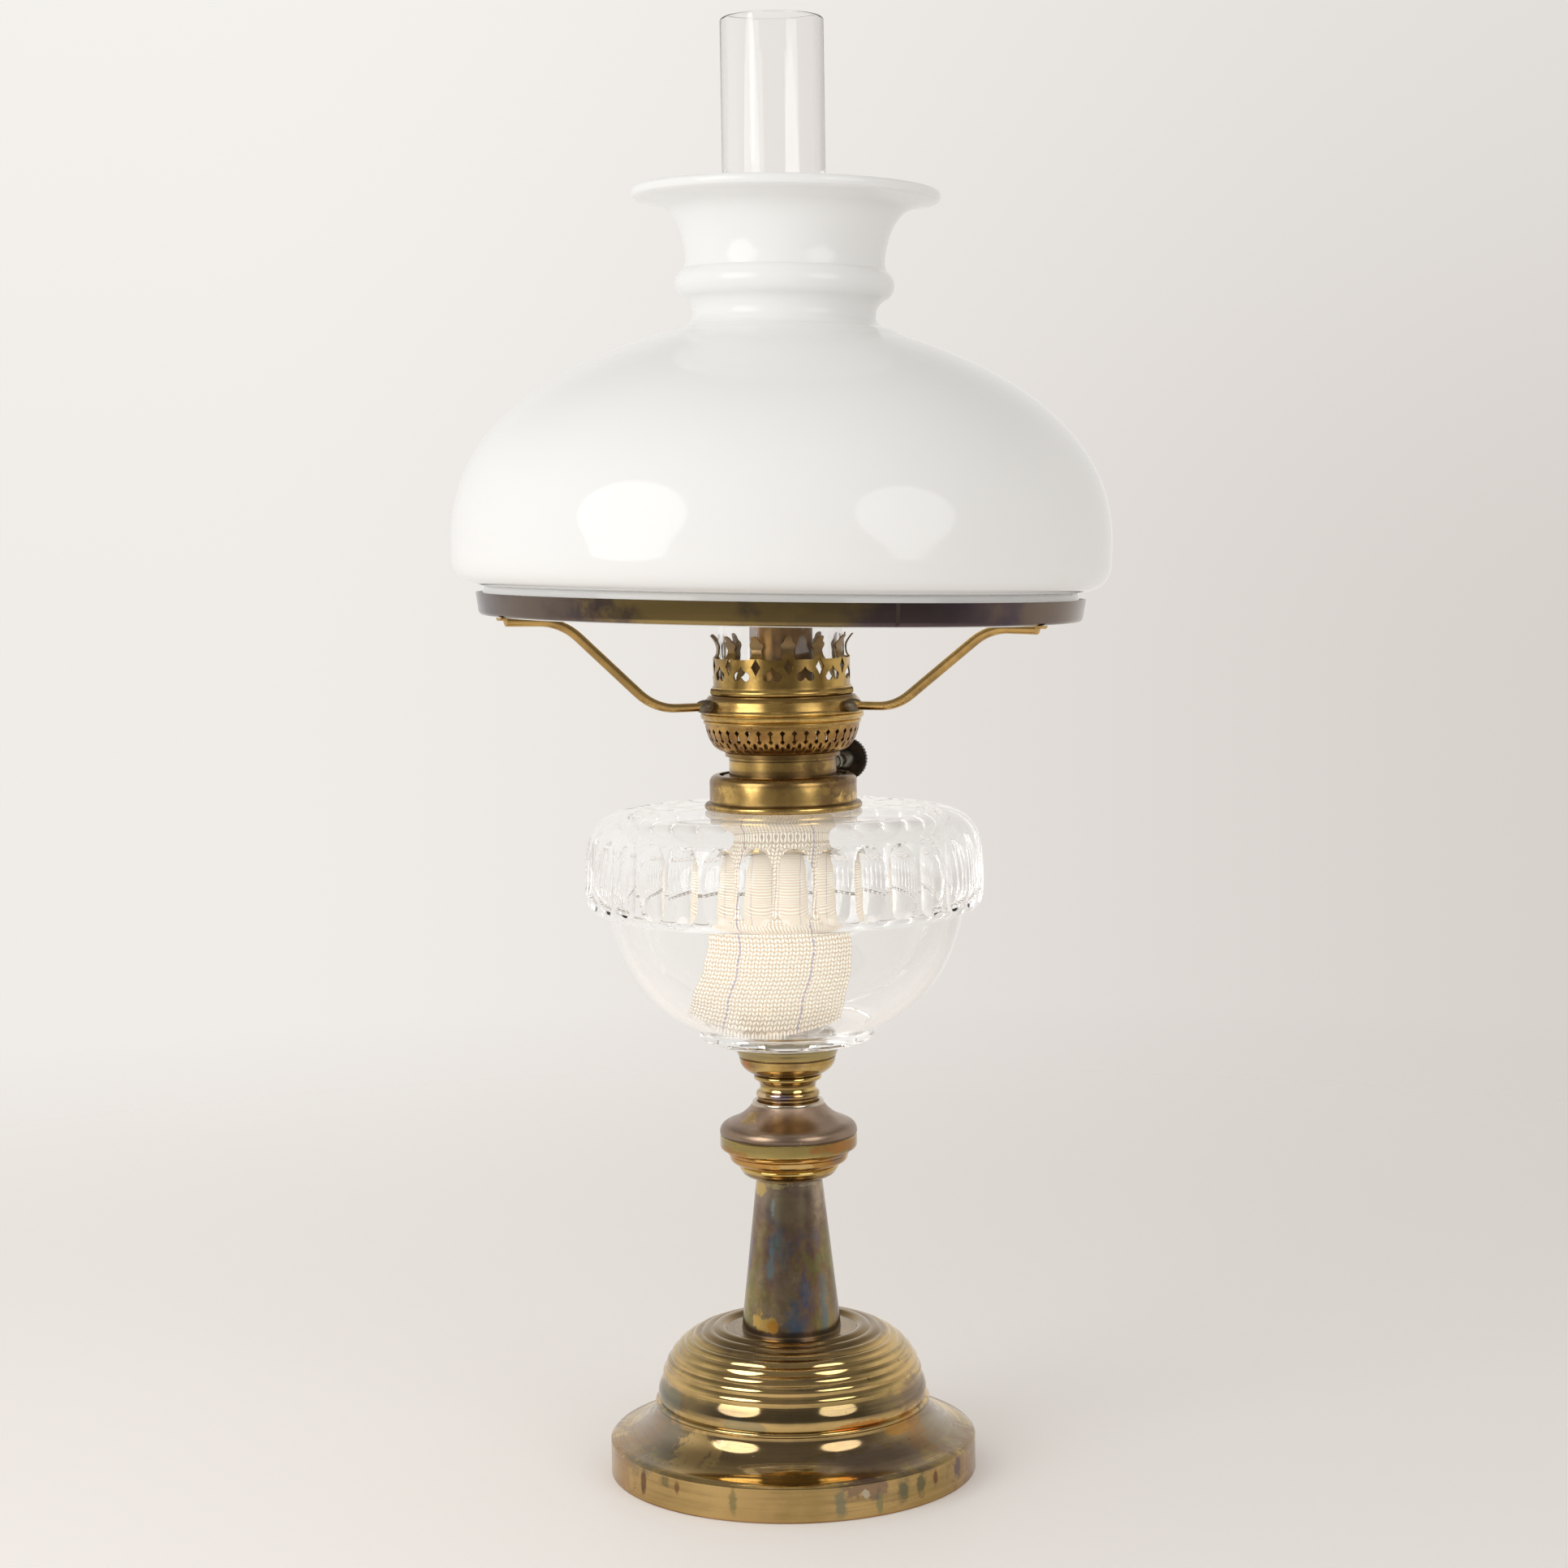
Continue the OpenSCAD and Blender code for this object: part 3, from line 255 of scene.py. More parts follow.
floor.data.materials.append(paper_floor.owner)
print("floor fades from", FLOOR_FADE_START, "to", FLOOR_FADE_END)

# %% [markdown]
# ### Soft lights
# Two round lights close to the lamp give large, soft highlights. A real lamp is far brighter than the
# paper that it lights, and its highlight shows that. So each light has a twin just before it, which dull
# surfaces don't see and which only adds to the highlight.

# %% Lights
LAMP_MIDDLE = Vector((0, 0, 0.36))
LIGHT_ELEVATION = math.radians(14.3)
LIGHT_AWAY = 1.1
TWIN_AWAY = 1.09
TWIN_RIM = 0.02
# Side, azimuth in degrees, radius in metres, power of the light and of its twin in watts
SOFT_LIGHTS = (("left", -50, 0.39, 3.4, 3.6), ("right", 41, 0.34, 1.8, 2.2))


def soft_light(name, azimuth, away, radius, power):
    """A round soft light that looks at the lamp. Azimuth 0 is at the camera, positive to the right."""
    a = math.radians(azimuth)
    flat = math.cos(LIGHT_ELEVATION)
    back = Vector((math.sin(a) * flat, -math.cos(a) * flat, math.sin(LIGHT_ELEVATION)))
    bpy.ops.object.light_add(type="AREA", location=LAMP_MIDDLE + back * away)
    light = bpy.context.object
    light.name = name
    light.rotation_euler = back.to_track_quat("Z", "Y").to_euler()
    light.data.shape = "DISK"
    light.data.size = 2 * radius
    light.data.energy = power
    return light


for side, azimuth, radius, power, _ in SOFT_LIGHTS:
    soft_light(side + "_light", azimuth, LIGHT_AWAY, radius, power)
for side, azimuth, radius, _, power in SOFT_LIGHTS:
    twin = soft_light(side + "_shine", azimuth, TWIN_AWAY, radius - TWIN_RIM, power)
    twin.visible_diffuse = False

# %% [markdown]
# ## Pieces that keep their CAD shape
# Foot, column, collar and burner were spun, turned or pierced, and CAD has their true outlines. Its mesh
# is cut up into separate bands, though, and each band would catch the light by itself. A copy is merged
# so that the bands share their edges, and shaded smooth up to an angle: soft curves run together, and
# true edges stay crisp. The copy then stands for its CAD node and rides on the same body.

# %% Smooth copies
bodies = frame["record"]["behaviour"]["bodies"]
BODY_OF = {node: body for body, members in bodies.items() for node in members}
SLOT_OF = {part["node"]: part["material_slot"] for part in frame["record"]["subparts"]}
MERGE_DISTANCE = 2e-6


def only(obj):
    """Selects one object alone and makes it active."""
    bpy.ops.object.select_all(action="DESELECT")
    obj.select_set(True)
    bpy.context.view_layer.objects.active = obj


def dress(piece, finish, *nodes):
    """Gives a piece its finish, and lets it ride on the body of the nodes that it stands for."""
    piece.data.materials.clear()
    piece.data.materials.append(finish.owner)
    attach(piece, BODY_OF[nodes[0]])
    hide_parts(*nodes)


def smooth_copy(node, finish, angle=38):
    """A merged, smooth-shaded copy of a CAD node."""
    piece = bpy.data.objects.new(node + "_piece", frame["nodes"][node].data.copy())
    scene.collection.objects.link(piece)
    only(piece)
    bpy.ops.mesh.customdata_custom_splitnormals_clear()
    bpy.ops.object.mode_set(mode="EDIT")
    bpy.ops.mesh.select_all(action="SELECT")
    bpy.ops.mesh.remove_doubles(threshold=MERGE_DISTANCE)
    bpy.ops.object.mode_set(mode="OBJECT")
    bpy.ops.object.shade_smooth_by_angle(angle=math.radians(angle))
    dress(piece, finish, node)


# %% [markdown]
# ## Turning on the lathe
# Glass and the small rings of the stem need finer curves than a working model, so they are turned anew. A
# plane is merged to one point, the point is extruded along an outline, and Spin turns the line once
# round. The outline is written as radius and height in millimetres, with curves and arcs for its round
# stretches.

# %% Outlines and spinning
def curve(a, control, b, n=8):
    """Points on a curve from a to b that bends towards one control point."""
    points = []
    for i in range(n + 1):
        t = i / n
        pulls = (((1 - t) ** 2, a), (2 * t * (1 - t), control), (t * t, b))
        points.append(tuple(sum(pull * point[k] for pull, point in pulls) for k in (0, 1)))
    return points


def arc(centre, radius, start, end, n=8):
    """Points on an arc, its angles in degrees from the direction of growing radius."""
    angles = [math.radians(start + (end - start) * i / n) for i in range(n + 1)]
    return [(centre[0] + radius * math.cos(a), centre[1] + radius * math.sin(a)) for a in angles]


def walled(line, wall, n=6):
    """A closed outline: the line, the same line moved left by the wall, and a rounded edge at each end."""
    points = [Vector(p) for p in line]
    last = len(points) - 1
    along = [(points[min(i + 1, last)] - points[max(i - 1, 0)]).normalized() for i in range(last + 1)]
    left = [Vector((-v.y, v.x)) for v in along]
    inner = [points[i] + left[i] * wall for i in range(last + 1)]

    def rounded(i, start):
        """A half circle over the wall's edge at one end of the line."""
        end, out, on = points[i], left[i] * wall / 2, along[i] * wall / 2
        angles = [start + math.pi * k / n for k in range(1, n)]
        return [end + out * (1 - math.cos(a)) + on * math.sin(a) for a in angles]

    outline = points + rounded(last, 0.0) + inner[::-1] + rounded(0, math.pi) + points[:1]
    return [tuple(p) for p in outline]


def lifted(line, z):
    return [(r, h + z) for r, h in line]


def spun(name, outline, steps=128, angle=30):
    """A piece turned round the lamp's axis from an outline in millimetres."""
    bpy.ops.object.select_all(action="DESELECT")
    bpy.ops.mesh.primitive_plane_add(size=MM)
    piece = bpy.context.object
    piece.name = name
    bpy.ops.object.mode_set(mode="EDIT")
    bpy.ops.mesh.merge(type="CENTER")
    bpy.ops.transform.translate(value=(outline[0][0] * MM, 0, outline[0][1] * MM))
    for a, b in zip(outline, outline[1:]):
        step = ((b[0] - a[0]) * MM, 0, (b[1] - a[1]) * MM)
        bpy.ops.mesh.extrude_region_move(TRANSFORM_OT_translate={"value": step})
    bpy.ops.mesh.select_all(action="SELECT")
    bpy.ops.mesh.spin(steps=steps, angle=2 * math.pi, center=(0, 0, 0), axis=(0, 0, 1))
    bpy.ops.mesh.select_all(action="SELECT")
    bpy.ops.mesh.remove_doubles(threshold=MERGE_DISTANCE)
    bpy.ops.mesh.normals_make_consistent(inside=False)
    bpy.ops.object.mode_set(mode="OBJECT")
    bpy.ops.object.shade_smooth_by_angle(angle=math.radians(angle))
    print(name, "has", len(piece.data.polygons), "faces")
    return piece


# %% [markdown]
# ## Aged brass
# Old brass is never one colour. Where hands and polish reach it stays gold; elsewhere a film grows that
# is olive, brown or violet by its thickness, drips leave dull tracks, and rings round the axis keep what
# the cloth missed. All of it is laid on as a restorer would read it: first the metal, then films, rings
# and stains, each with its own colour and its own roughness. A place on a turned piece is its angle round
# the lamp and its height, so a stain is given in degrees and millimetres, and noise makes its edge
# ragged.
# A few bands are painted darker as well: painted shade under the burner's basket, and in part the dim room
# reflected in the foot.

# %% Brass finish
class Brass(Graph):
    """Old brass: metal whose colour and roughness change with every film and stain that is laid over it,
    and with a few bands of painted shade and painted reflection.
    """

    def __init__(self, name, gold, rough, shift=0.0):
        super().__init__(bpy.data.materials.new(name))
        self.give("Metallic", 1.0)
        on_lamp = self.add("ShaderNodeTexCoord", output="Object")
        self.place = self.add("ShaderNodeMapping", {0: on_lamp, 1: (shift, 0.7 * shift, -shift)})
        x, y, z = self.split(on_lamp)
        self.azimuth = self.math("DEGREES", self.math("ARCTAN2", x, self.times(y, -1.0)))
        self.height = self.math("DIVIDE", z, MM)
        self.meridian = self.minus(z, self.length(self.join(x, y, 0.0)))
        self.rough = rough
        self.paint(1.0, gold)

    def turned(self, around, along):
        """A vector for noise whose pattern is drawn out round the lamp's axis."""
        x, y, _ = self.split(self.place)
        parts = [self.times(v, k) for v, k in ((x, around), (y, around), (self.meridian, along))]
        return self.join(*parts)

    def cover(self, mask, share, colour, rough):
        """Lays a film, a stain or a band of painted shade over the metal where a mask allows it: its colour
        and its roughness.
        """
        amount = self.times(mask, share)
        self.paint(amount, colour)
        self.rough = self.blend(amount, self.rough, rough)

    def film(self, colour, share, rough, scale=40.0, streak=0.0, soft=0.1, strength=1.0):
        """A film in blotches over about a share of the metal, some of it in streaks round the axis."""
        value = self.noise(self.place, scale, 6.0, 0.65)
        if streak:
            rings = self.noise(self.turned(14.0, 420.0), 1.0, 4.0, 0.6)
            value = self.blend(streak, value, rings)
        cut = 0.5 + 0.28 * (0.5 - share)
        self.cover(self.level(value, cut - soft, cut + soft), strength, colour, rough)

    def zone(self, colour, low, high, rough, share=0.8, soft=0.8):
        """A band of colour on a range of heights, in millimetres, with a slightly uneven edge: mostly a
        film, in a few places painted shade and painted reflection.
        """
        uneven = self.minus(self.noise(self.place, 70.0, 4.0), 0.5)
        height = self.plus(self.height, self.times(uneven, 3.0 * soft))
        above = self.level(height, low - soft, low + soft)
        below = self.level(height, high + soft, high - soft)
        self.cover(self.times(above, below), share, colour, rough)

    def stain(self, colour, azimuth, height, wide, tall, share=0.8, rough=0.3, ragged=0.8,
              scale=150.0, soft=0.25):
        """A ragged patch: its middle and its half sizes, in degrees round the lamp and millimetres up."""
        aside = self.math("DIVIDE", self.minus(self.azimuth, azimuth), wide)
        above = self.math("DIVIDE", self.minus(self.height, height), tall)
        edge = self.minus(self.noise(self.place, scale, 6.0, 0.68), 0.5)
        reach = self.plus(self.length(self.join(aside, above, 0.0)), self.times(edge, 4.2 * ragged))
        self.cover(self.level(reach, 1.0 + soft, 1.0 - soft), share, colour, rough)

    def specks(self, colour, scale, amount, share=0.8, rough=0.5):
        """Small spots all over, more of them as the amount grows from 0 to 1."""
        cut = 0.76 - 0.14 * amount
        spots = self.noise(self.place, scale, 3.0, 0.55)
        self.cover(self.level(spots, cut, cut + 0.05), share, colour, rough)

    def scratches(self, colour, amount, share=0.7):
        """Fine scratches that run round the piece, as from a cloth with grit in it."""
        value = self.noise(self.turned(60.0, 2600.0), 1.0, 2.0, 0.5)
        cut = 0.72 - 0.1 * amount
        self.cover(self.level(value, cut, cut + 0.06), share, colour, 0.2)

    def settle(self, dents=0.5, lathe=0.06, strength=0.2, smear=0.06):
        """Links the roughness, and adds the relief: shallow dents and fine marks of the lathe."""
        wiped = self.minus(self.noise(self.turned(20.0, 900.0), 1.0, 3.0, 0.6), 0.5)
        self.rough = self.plus(self.rough, self.times(wiped, smear))
        self.give("Roughness", self.rough)
        marks = self.times(self.noise(self.turned(25.0, 5200.0), 1.0, 2.0), lathe)
        hollows = self.times(self.noise(self.place, 55.0, 2.0, 0.4), dents)
        relief = self.plus(marks, hollows)
        bump = self.add("ShaderNodeBump", {"Strength": strength, "Distance": 0.0006, "Height": relief})
        self.give("Normal", bump)
        print(self.owner.name, "has", len(self.tree.nodes), "nodes")


GOLD = "#d0b076"
UMBER = "#5e4a38"
DARK = "#3d312a"
VIOLET = "#6a5759"
SLATE = "#747a6c"
ORANGE = "#b5762f"
CRUST = "#c4b8a0"

# %% [markdown]
# ### Foot
# The foot was polished often: rim and ridges are gold and the flat top round the column is brown. The
# smooth band and the cove are dark and glossy; their darker colour is partly film and partly painted
# reflection of the dim room. Water has run down the rim and left grey-green tracks.

# %% Foot brass
foot_brass = Brass("foot_brass", GOLD, 0.08)
foot_brass.film("#93804f", 0.45, 0.1, scale=24.0, streak=0.4, soft=0.12, strength=0.75)
foot_brass.film("#6f6058", 0.22, 0.14, scale=34.0, streak=0.55, soft=0.08, strength=0.7)
# Darker cove: partly film, partly painted reflection of the dim room.
foot_brass.zone("#6c5b4c", 16.5, 26.6, 0.1, 0.62, 1.8)
foot_brass.film("#a89058", 0.16, 0.1, scale=46.0, streak=0.5, soft=0.06, strength=0.7)
# Darker smooth band: partly film, partly painted reflection of the dim room.
foot_brass.zone("#4d443c", 32.6, 38.0, 0.08, 0.62, 1.4)
foot_brass.zone("#5f4c3c", 55.6, 60, 0.22, 0.6, 0.6)
foot_brass.stain("#96826e", -76, 20, 22, 10, 0.75, 0.25)
foot_brass.stain("#85806e", -54, 19, 12, 8, 0.6, 0.2)
# Gold patch in the cove beside the left highlight: partly bare metal, partly painted reflection.
foot_brass.stain(GOLD, -40, 21, 9, 6, 0.8, 0.12)
foot_brass.stain("#927f72", 34, 17.5, 22, 4, 0.6, 0.22)
foot_brass.stain("#b0803f", 54, 26, 11, 3.6, 0.75, 0.2)
foot_brass.stain("#94704a", 59, 20, 9, 6, 0.6, 0.25)
foot_brass.stain("#8d8068", 78, 20, 15, 10, 0.7, 0.28)
foot_brass.stain(ORANGE, 31, 29.8, 14, 1.3, 0.8, 0.16, 0.6)
foot_brass.stain(SLATE, -68, 33, 12, 6, 0.55, 0.2)
foot_brass.stain(SLATE, -20, 31, 9, 2.4, 0.45, 0.16)
foot_brass.stain("#7c6a5c", 66, 36, 14, 6, 0.55, 0.2)
foot_brass.zone("#a48858", -1, 13.2, 0.14, 0.45, 0.6)
foot_brass.stain("#a9814f", -78, 7, 18, 8, 0.6, 0.24)
foot_brass.stain("#8f6d52", 80, 7, 18, 8, 0.6, 0.26)
# Drips on the rim: azimuth in degrees, top and length in millimetres, half width in degrees, colour
DRIPS = (
    (-53, 12.5, 9, 1.5, "#64402f"), (-43, 13, 4, 1.8, "#7d6e50"), (-38, 12, 5, 0.9, "#745434"),
    (-18.5, 12, 10, 1.1, "#857c54"), (14, 12.5, 11.5, 1.7, "#807e66"), (26.5, 10, 9, 1.0, "#87825f"),
    (35, 13, 8.5, 2.0, "#5f6350"), (42, 13, 9, 1.7, "#5f604a"), (48.5, 12.5, 7, 1.0, "#6f4433"),
    (61, 13.5, 9, 1.9, "#6a585c"), (152, 12, 8, 1.6, "#807e66"), (-128, 12, 9, 1.4, "#705d44"),
)
for azimuth, top, length, wide, colour in DRIPS:
    foot_brass.stain(colour, azimuth, top - length / 2, wide, length / 2, 0.8, 0.34, 0.6, 240.0, 0.4)
foot_brass.stain(VIOLET, 22, 11.5, 7, 3.6, 0.6, 0.3, 0.9)
foot_brass.stain(CRUST, 22, 9.4, 1.4, 1.4, 0.9, 0.6, 0.9, 420.0)
foot_brass.zone("#8c5a3e", -1, 0.4, 0.35, 0.6, 0.3)
foot_brass.specks("#5d4632", 420.0, 0.45, 0.75)
foot_brass.scratches("#5a4a3c", 0.4, 0.6)
foot_brass.settle(0.5, 0.03, 0.14, 0.05)

# %% [markdown]
# ### Stem
# Nobody polishes a smooth column: it has gone grey-brown, with the blue and green of a thick film low
# down and a rubbed patch of gold at its foot. The colours of such a film follow its thickness, so one
# noise, drawn out along the column, is read through a ramp of colours. The knop's bell is satin brown,
# its rings below and the neck and cup above are still gold, with orange where the lacquer is left.

# %% Column brass
column_brass = Brass("column_brass", "#ad9a80", 0.2, 0.31)
column_brass.film("#77654f", 0.55, 0.24, scale=34.0, soft=0.16)
column_brass.film("#5f5244", 0.34, 0.26, scale=190.0, soft=0.1, strength=0.6)
column_brass.film("#7d6b66", 0.3, 0.24, scale=60.0, soft=0.12, strength=0.5)
drawn = column_brass.add("ShaderNodeMapping", {0: column_brass.place, 3: (1.0, 1.0, 0.55)})
thickness = column_brass.noise(drawn, 66.0, 6.0, 0.66)
FILM_COLOURS = (
    (0.36, "#a08a54"), (0.43, "#80804f"), (0.48, "#8a6a4c"), (0.53, "#6d5e6a"),
    (0.58, "#4a6488"), (0.64, "#4f858a"), (0.72, "#93ada0"),
)
sheen = column_brass.ramp(thickness, *FILM_COLOURS)
low_part = column_brass.level(column_brass.height, 122.0, 70.0)
patchy = column_brass.level(column_brass.noise(drawn, 40.0, 5.0, 0.62), 0.4, 0.58)
column_brass.cover(column_brass.times(low_part, patchy), 0.9, sheen, 0.22)
column_brass.stain("#8d8160", -13, 109, 12, 6, 0.6, 0.24, 1.0, 150.0, 0.5)
column_brass.stain("#93a5a4", -29, 109, 4, 3, 0.7, 0.26, 1.0, 200.0, 0.5)
column_brass.stain("#6b848a", -28, 88, 5, 7, 0.6, 0.26, 1.0, 150.0, 0.5)
column_brass.stain("#4c6680", 3, 64, 10, 8, 0.75, 0.26, 0.8, 150.0, 0.5)
column_brass.stain("#5e7d88", 44, 70, 6, 13, 0.6, 0.26, 0.9, 150.0, 0.5)
column_brass.stain("#8a6c52", 34, 74, 10, 9, 0.45, 0.26, 1.0, 150.0, 0.5)
column_brass.stain("#c9a65c", -36, 62.5, 15, 3.4, 0.85, 0.16, 1.0)
column_brass.stain("#c28c3c", -23, 61.5, 6, 1.8, 0.9, 0.16, 0.8)
column_brass.stain("#c9ac6a", -60, 115.5, 16, 2.6, 0.8, 0.2, 1.2)
column_brass.stain("#b9a878", -20, 117, 14, 1.0, 0.8, 0.25, 1.2, 240.0)
column_brass.stain("#a89c84", 30, 117.4, 20, 0.8, 0.7, 0.3, 1.2, 240.0)
column_brass.zone("#5c4a3a", 56, 59.2, 0.34, 0.7, 0.6)
column_brass.zone("#a8987e", 56, 57.4, 0.4, 0.4, 0.2)
column_brass.specks("#b9a88a", 260.0, 0.4, 0.6, 0.25)
column_brass.specks("#4d443a", 330.0, 0.4, 0.6, 0.35)
column_brass.scratches("#b8aa90", 0.3, 0.4)
column_brass.settle(0.6, 0.02, 0.14)

# %% Knop brass
knop_brass = Brass("knop_brass", "#b39a86", 0.3, 0.47)
knop_brass.film("#97806e", 0.5, 0.34, scale=50.0, soft=0.16)
knop_brass.stain("#c2a062", -55, 144.5, 10, 2.2, 0.75, 0.24, 1.1, 260.0)
knop_brass.stain("#b0987a", -30, 139.6, 20, 1.2, 0.6, 0.26, 1.4, 300.0)
knop_brass.stain("#a08a74", -34, 141.5, 18, 1.4, 0.5, 0.28, 1.4, 300.0)
knop_brass.stain("#b39c80", 40, 139.8, 12, 0.8, 0.6, 0.26, 1.4, 300.0)
knop_brass.zone("#4a3d33", 135.5, 137.0, 0.2, 0.8, 0.2)
knop_brass.zone("#84705e", 137.0, 141.2, 0.36, 0.6, 0.6)
knop_brass.zone("#c4b8a4", 148.4, 150.5, 0.16, 0.8, 0.3)
knop_brass.specks("#bfa885", 330.0, 0.4, 0.7, 0.25)
knop_brass.settle(0.5, 0.05, 0.18)

# %% Bright brass of the rings
bright_brass = Brass("bright_brass", "#cdb06e", 0.1, 0.12)
bright_brass.film("#a5803f", 0.42, 0.14, scale=44.0, streak=0.3, soft=0.1, strength=0.8)
bright_brass.film("#7a6450", 0.2, 0.2, scale=60.0, streak=0.5, soft=0.08, strength=0.7)
bright_brass.zone("#928553", 131.2, 135.8, 0.16, 0.75, 0.3)
bright_brass.stain("#a5703f", 52, 134, 26, 2.2, 0.8, 0.2)
bright_brass.stain("#a5703f", -62, 131, 22, 2.2, 0.6, 0.2)
bright_brass.zone("#b07a3c", 124.6, 129.8, 0.12, 0.6, 0.6)
bright_brass.stain(GOLD, 4, 126.6, 16, 2.0, 0.9, 0.1)
bright_brass.zone("#6d5a4a", 117.5, 121.6, 0.2, 0.7, 0.6)
bright_brass.stain("#7d7a78", 56, 129, 12, 2.6, 0.5, 0.2)
bright_brass.zone("#8f765a", 149, 154.2, 0.12, 0.6, 0.5)
bright_brass.stain("#75738c", -14, 152.6, 20, 1.6, 0.6, 0.12)
bright_brass.stain("#d8bd98", -58, 152.8, 15, 1.6, 0.9, 0.42, 0.7)
bright_brass.zone("#7a6244", 155.4, 158.0, 0.14, 0.55, 0.6)
bright_brass.zone("#5a4630", 160.0, 162.4, 0.16, 0.7, 0.5)
bright_brass.stain("#b0743a", -60, 165, 16, 2.6, 0.7, 0.18)
bright_brass.zone("#463628", 167.2, 168.0, 0.3, 0.85, 0.2)
bright_brass.zone("#a0946a", 168.4, 173, 0.28, 0.75, 0.4)
bright_brass.specks(UMBER, 380.0, 0.4, 0.65)
bright_brass.settle(0.5, 0.04, 0.16, 0.05)

# %% [markdown]
# ### Burner and shade holder
# A burner lives in heat and oil. Its brass is satin, olive to brown, pitted round the holes of the
# basket, and its prongs are grey with soot. The ring that carries the shade has taken every tint of heat:
# violet on one side, gold where it was rubbed, and a dull seam.

# %% Collar brass
collar_brass = Brass("collar_brass", "#d6b36c", 0.17, 0.53)
collar_brass.film("#a2804a", 0.5, 0.26, scale=70.0, soft=0.12)
collar_brass.zone("#6d5436", 277.2, 282, 0.3, 0.7, 1.0)
collar_brass.zone("#57452f", 269.2, 270.8, 0.4, 0.7, 0.5)
collar_brass.zone("#7a6440", 266, 268.6, 0.3, 0.6, 0.4)
collar_brass.stain(UMBER, 62, 276, 24, 3.4, 0.65, 0.34, 1.0, 260.0)
collar_brass.stain(UMBER, 38, 272.6, 12, 2.2, 0.5, 0.34, 1.0, 420.0)
collar_brass.stain("#6f5538", -72, 274, 22, 5, 0.55, 0.34, 1.0, 260.0)
collar_brass.specks(DARK, 520.0, 0.4, 0.7)
collar_brass.settle(0.9, 0.02, 0.22)

# %% Burner brass
burner_brass = Brass("burner_brass", "#d0ad66", 0.2, 0.74)
burner_brass.film("#9c7c48", 0.5, 0.28, scale=60.0, streak=0.3, soft=0.12)
burner_brass.zone("#80623a", 300.2, 301.8, 0.34, 0.6, 0.4)
# Painted shade: the ring just under the basket is darkened, as in the basket's shade.
burner_brass.zone("#6a5236", 287.6, 292.6, 0.26, 0.7, 0.3)
burner_brass.zone("#4a3828", 286.6, 287.3, 0.3, 0.8, 0.2)
burner_brass.zone("#5a4530", 280, 283.2, 0.3, 0.6, 0.5)
burner_brass.zone("#765c38", 311.2, 312.6, 0.34, 0.6, 0.4)
burner_brass.stain("#5c4832", 30, 285, 14, 2.2, 0.65, 0.34)
burner_brass.stain("#73583a", 70, 290, 26, 9, 0.5, 0.34)
burner_brass.specks(UMBER, 460.0, 0.35, 0.65)
burner_brass.settle(0.6, 0.05, 0.18)

# %% Basket and gallery brass
basket_brass = Brass("basket_brass", "#c49c5a", 0.26, 0.18)
basket_brass.film("#967242", 0.5, 0.34, scale=80.0, soft=0.12)
basket_brass.zone("#744c30", 292.5, 298.5, 0.44, 0.3, 1.5)
basket_brass.specks("#543524", 300.0, 0.75, 0.7, 0.5)
basket_brass.specks("#dab678", 500.0, 0.4, 0.6, 0.25)
basket_brass.settle(0.8, 0.0, 0.22)

gallery_brass = Brass("gallery_brass", "#bd9b56", 0.2, 0.85)
gallery_brass.film("#8b7040", 0.46, 0.26, scale=60.0, soft=0.14)
gallery_brass.zone("#7d6a56", 329, 340, 0.42, 0.7, 2.5)
gallery_brass.specks("#5f5548", 280.0, 0.45, 0.6)
gallery_brass.settle(0.8, 0.0, 0.22)

# %% Wick tube brass
brown_brass = Brass("brown_brass", "#7d5c30", 0.3, 0.9)
brown_brass.film("#5a4426", 0.55, 0.4, scale=70.0, soft=0.14)
brown_brass.stain("#8f6638", -38, 330, 6, 26, 0.5, 0.35, 0.9)
brown_brass.specks("#a08256", 420.0, 0.3, 0.7)
brown_brass.settle(0.6, 0.0, 0.2)

# %% Ring and arm brass
ring_brass = Brass("ring_brass", "#5f524f", 0.16, 0.22)
ring_brass.film("#4f434a", 0.5, 0.2, scale=22.0, soft=0.16)
RING_HEIGHT = 350
# Tints of heat round the ring: colour, azimuth and half width in degrees, share, roughness, raggedness
RING_TINTS = (
    ("#807264", -52, 12, 0.5, 0.2, 0.6), ("#a89058", -17, 14, 0.8, 0.18, 0.7),
    ("#8c7848", 3, 10, 0.65, 0.2, 0.8), ("#7c6a52", 66, 18, 0.5, 0.22, 0.7),
    ("#97824e", 150, 24, 0.7, 0.22, 0.9), ("#97824e", -140, 20, 0.65, 0.22, 0.9),
)
for colour, azimuth, wide, *film in RING_TINTS:
    ring_brass.stain(colour, azimuth, RING_HEIGHT, wide, 20, *film, 60.0, 0.5)
ring_brass.stain("#4a3f36", 20.6, RING_HEIGHT, 0.35, 20, 0.8, 0.5, 0.2, 500.0)
ring_brass.specks("#8a7455", 380.0, 0.3, 0.5, 0.3)
ring_brass.settle(0.5, 0.0, 0.16)

arm_brass = Brass("arm_brass", "#c4a062", 0.16, 0.66)
arm_brass.film("#94784a", 0.5, 0.2, scale=50.0, soft=0.16, strength=0.8)
arm_brass.specks(UMBER, 420.0, 0.2, 0.5)
arm_brass.settle(0.3, 0.0, 0.1)

# %% [markdown]
# ### Solder, iron, plaster and the knob
# What isn't brass or glass is dull, and little of it shows. One recipe is enough: two near colours in
# patches, a roughness that wanders, and a fine grain.

